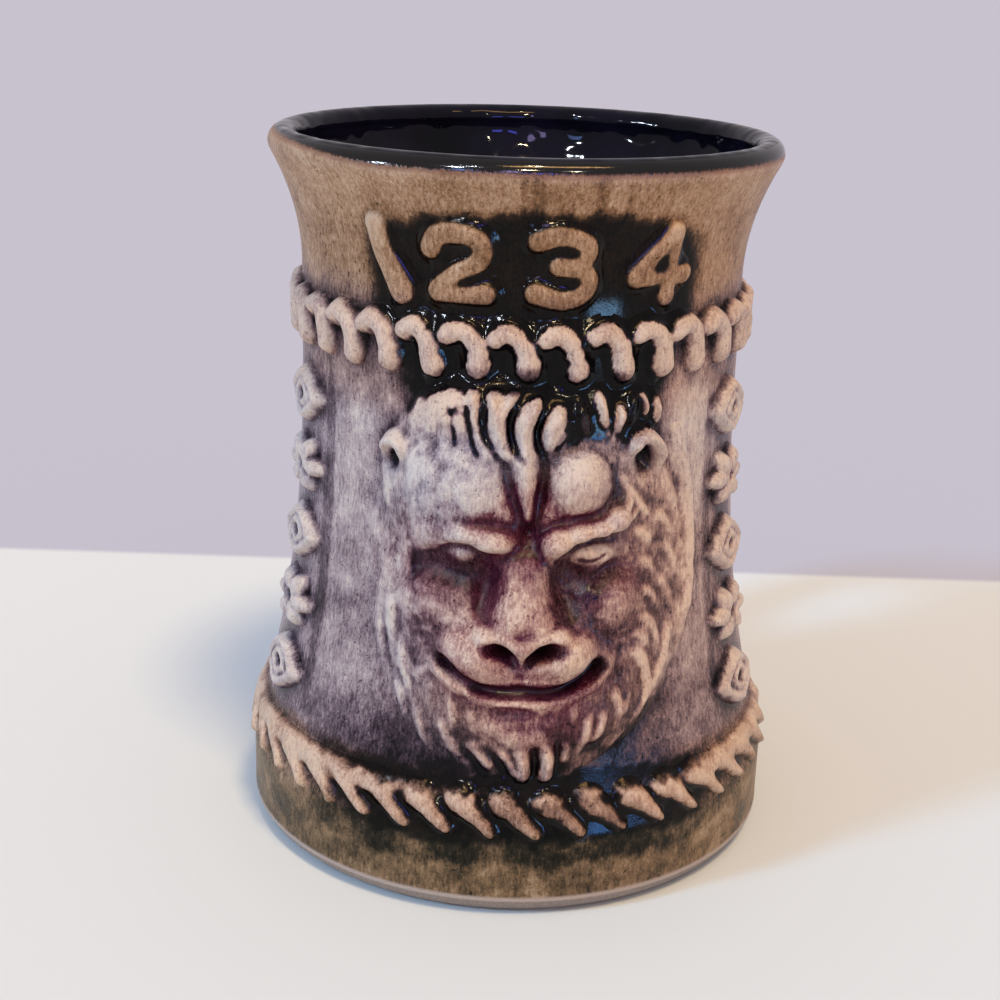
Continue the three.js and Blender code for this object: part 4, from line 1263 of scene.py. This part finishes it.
def buildHandle():
    route = handleRoute()
    bm = bmesh.new()
    ring = bmesh.ops.create_circle(bm, cap_ends=False, radius=0.5, segments=handle["sides"])["verts"]
    shape = [Vector(v.co) for v in ring]
    along = np.concatenate([[0], np.cumsum(np.linalg.norm(np.diff(route, axis=0), axis=1))])
    loops = []
    edges = list(bm.edges)
    for i, (y, z) in enumerate(route):
        if i:
            made = bmesh.ops.extrude_edge_only(bm, edges=edges)["geom"]
            ring = [g for g in made if isinstance(g, bmesh.types.BMVert)]
            edges = [g for g in made if isinstance(g, bmesh.types.BMEdge)]
        before, after = route[max(0, i - 1)], route[min(len(route) - 1, i + 1)]
        way = Vector((0, *(after - before))).normalized()
        out = Vector((0, way.z, -way.y))
        near = min(along[i], along[-1] - along[i])
        swell = 1 + handle["flare"] * math.exp(-(near / handle["flareReach"]) ** 2)
        for v, flat in zip(ring, shape):
            across = flat.x * handle["width"] * swell
            thick = flat.y * handle["thickness"] * swell
            v.co = Vector((across, y, z)) * mm + out * thick * mm
        loops.append(ring)
    # both ends are cut to the wall's curve, a little way inside it
    for v in loops[0] + loops[-1]:
        radius = (float(wallRadius(v.co.z / mm)) - 1.2) * mm
        v.co.y = math.sqrt(radius ** 2 - v.co.x ** 2)
    bmesh.ops.holes_fill(bm, edges=[e for e in bm.edges if e.is_boundary], sides=0)
    bmesh.ops.recalc_face_normals(bm, faces=bm.faces)
    mesh = finishPiece(bm, "handle", [wipedGlaze], ["handle"]).data
    # dark in the corner at the wall and down the sides
    places = np.array([v.co for v in mesh.vertices]) / mm
    fromWall = np.hypot(places[:, 0], places[:, 1]) - wallRadius(places[:, 2])
    tone = 0.30 + 0.42 * smooth(0.5, 7, fromWall) - 0.16 * smooth(6, 9.5, np.abs(places[:, 0]))
    addAttribute(mesh, "wiped", tone)
    addAttribute(mesh, "blush", np.full(len(places), 0.15))
    addAttribute(mesh, "warm", np.full(len(places), 0.4))


buildHandle()
print("handle pulled")

# Table and wall behind it: one level sheet in two tones that meet behind the mug
stage = {"size": 30.0, "tableEnd": 0.121, "table": "#E6E6E4", "wall": "#C5C2CD"}


def buildStage():
    bm = bmesh.new()
    bmesh.ops.create_grid(bm, x_segments=2, y_segments=2, size=stage["size"] / 2)
    mesh = bpy.data.meshes.new("floor")
    bm.to_mesh(mesh)
    bm.free()
    floor = bpy.data.objects.new("floor", mesh)
    bpy.context.scene.collection.objects.link(floor)
    # matt painted board, with no shine at all
    material, tree, shader = newMaterial("painted board")
    place = addNode(tree, "TexCoord", out="Object")
    depth = addNode(tree, "SeparateXYZ", {0: place}, out="Y")
    end = stage["tableEnd"]
    share = addNode(tree, "MapRange", {"Value": depth, 1: end - 0.001, 2: end + 0.002})
    tones = {0: share, 6: linear(stage["table"]), 7: linear(stage["wall"])}
    tree.links.new(addNode(tree, "Mix", tones, data_type="RGBA", out=2), shader.inputs["Base Color"])
    shader.inputs["Roughness"].default_value = 0.9
    shader.inputs["Specular IOR Level"].default_value = 0.0
    mesh.materials.append(material)


buildStage()

# Daylight from a window on the left, a warm room light on the right, and small lamps that only glint
suns = [
    # name, towards it, spread in degrees, strength, colour
    ("window", (-0.85, -0.46, 0.60), 9, 1.5, (0.24, 0.60, 1.0)),
    ("roomLight", (0.26, -0.50, 1.15), 12, 1.45, (1.0, 0.80, 0.50)),
]
glints = [
    # name, place, size, watts, colour
    ("blueWindow", (0.72, -0.56, 0.035), (0.60, 0.025), 2.8, "#5E9CF0"),
    ("paneRight", (0.213, -0.253, 0.046), (0.083, 0.016), 0.22, "#7FB0DC"),
    ("ceilingTube", (0.14, -0.40, 0.86), (0.50, 0.10), 2.6, "#FFC880"),
    ("curtainLeft", (-0.46, -0.90, 0.46), (0.09, 0.22), 1.2, "#7F9CE8"),
    ("curtainMiddle", (-0.10, -0.98, 0.50), (0.07, 0.26), 1.2, "#B9A6E8"),
    ("curtainRight", (0.14, -0.98, 0.38), (0.12, 0.10), 1.2, "#5A60F0"),
    ("bulbLeft", (-0.32, -0.62, 0.80), (0.025, 0.025), 1.6, "#F4FAFF"),
    ("bulbRight", (0.30, -0.75, 0.62), (0.02, 0.02), 1.2, "#FFF0CC"),
    ("bulbHigh", (0.05, -0.40, 0.95), (0.03, 0.03), 1.4, "#FFE9B8"),
    ("bulbFront", (0.02, -0.80, 0.72), (0.06, 0.02), 3.6, "#FFE3AE"),
    ("skyLeft", (-0.85, -0.40, 0.40), (0.05, 0.05), 3.0, "#DCEAFF"),
    ("bulbSide", (-0.42, -0.66, 0.66), (0.05, 0.03), 3.2, "#EAF2FF"),
]
skyColour = (0.56, 0.52, 0.56, 1)
mugMiddle = Vector((0, 0, 0.07))


def addLamp(name, kind, towards, colour, energy):
    lamp = bpy.data.lights.new(name, kind)
    lamp.color = colour
    lamp.energy = energy
    obj = bpy.data.objects.new(name, lamp)
    bpy.context.scene.collection.objects.link(obj)
    obj.rotation_euler = Vector(towards).to_track_quat("Z", "Y").to_euler()
    return obj


def buildLamps():
    for name, towards, spread, strength, colour in suns:
        sun = addLamp(name, "SUN", towards, colour, strength)
        sun.data.angle = math.radians(spread)
        sun.visible_glossy = False
    for name, place, size, watts, colour in glints:
        lamp = addLamp(name, "AREA", Vector(place) - mugMiddle, linear(colour)[:3], watts)
        lamp.location = place
        lamp.data.shape = "RECTANGLE"
        lamp.data.size, lamp.data.size_y = size
        lamp.visible_diffuse = False
        lamp.visible_camera = False
    world = bpy.data.worlds.new("room")
    bpy.context.scene.world = world
    world.use_nodes = True
    background = world.node_tree.nodes["Background"]
    background.inputs[0].default_value = skyColour
    background.inputs[1].default_value = 1.0


buildLamps()

bpy.context.scene.view_settings.view_transform = "Standard"
print("stage lit")
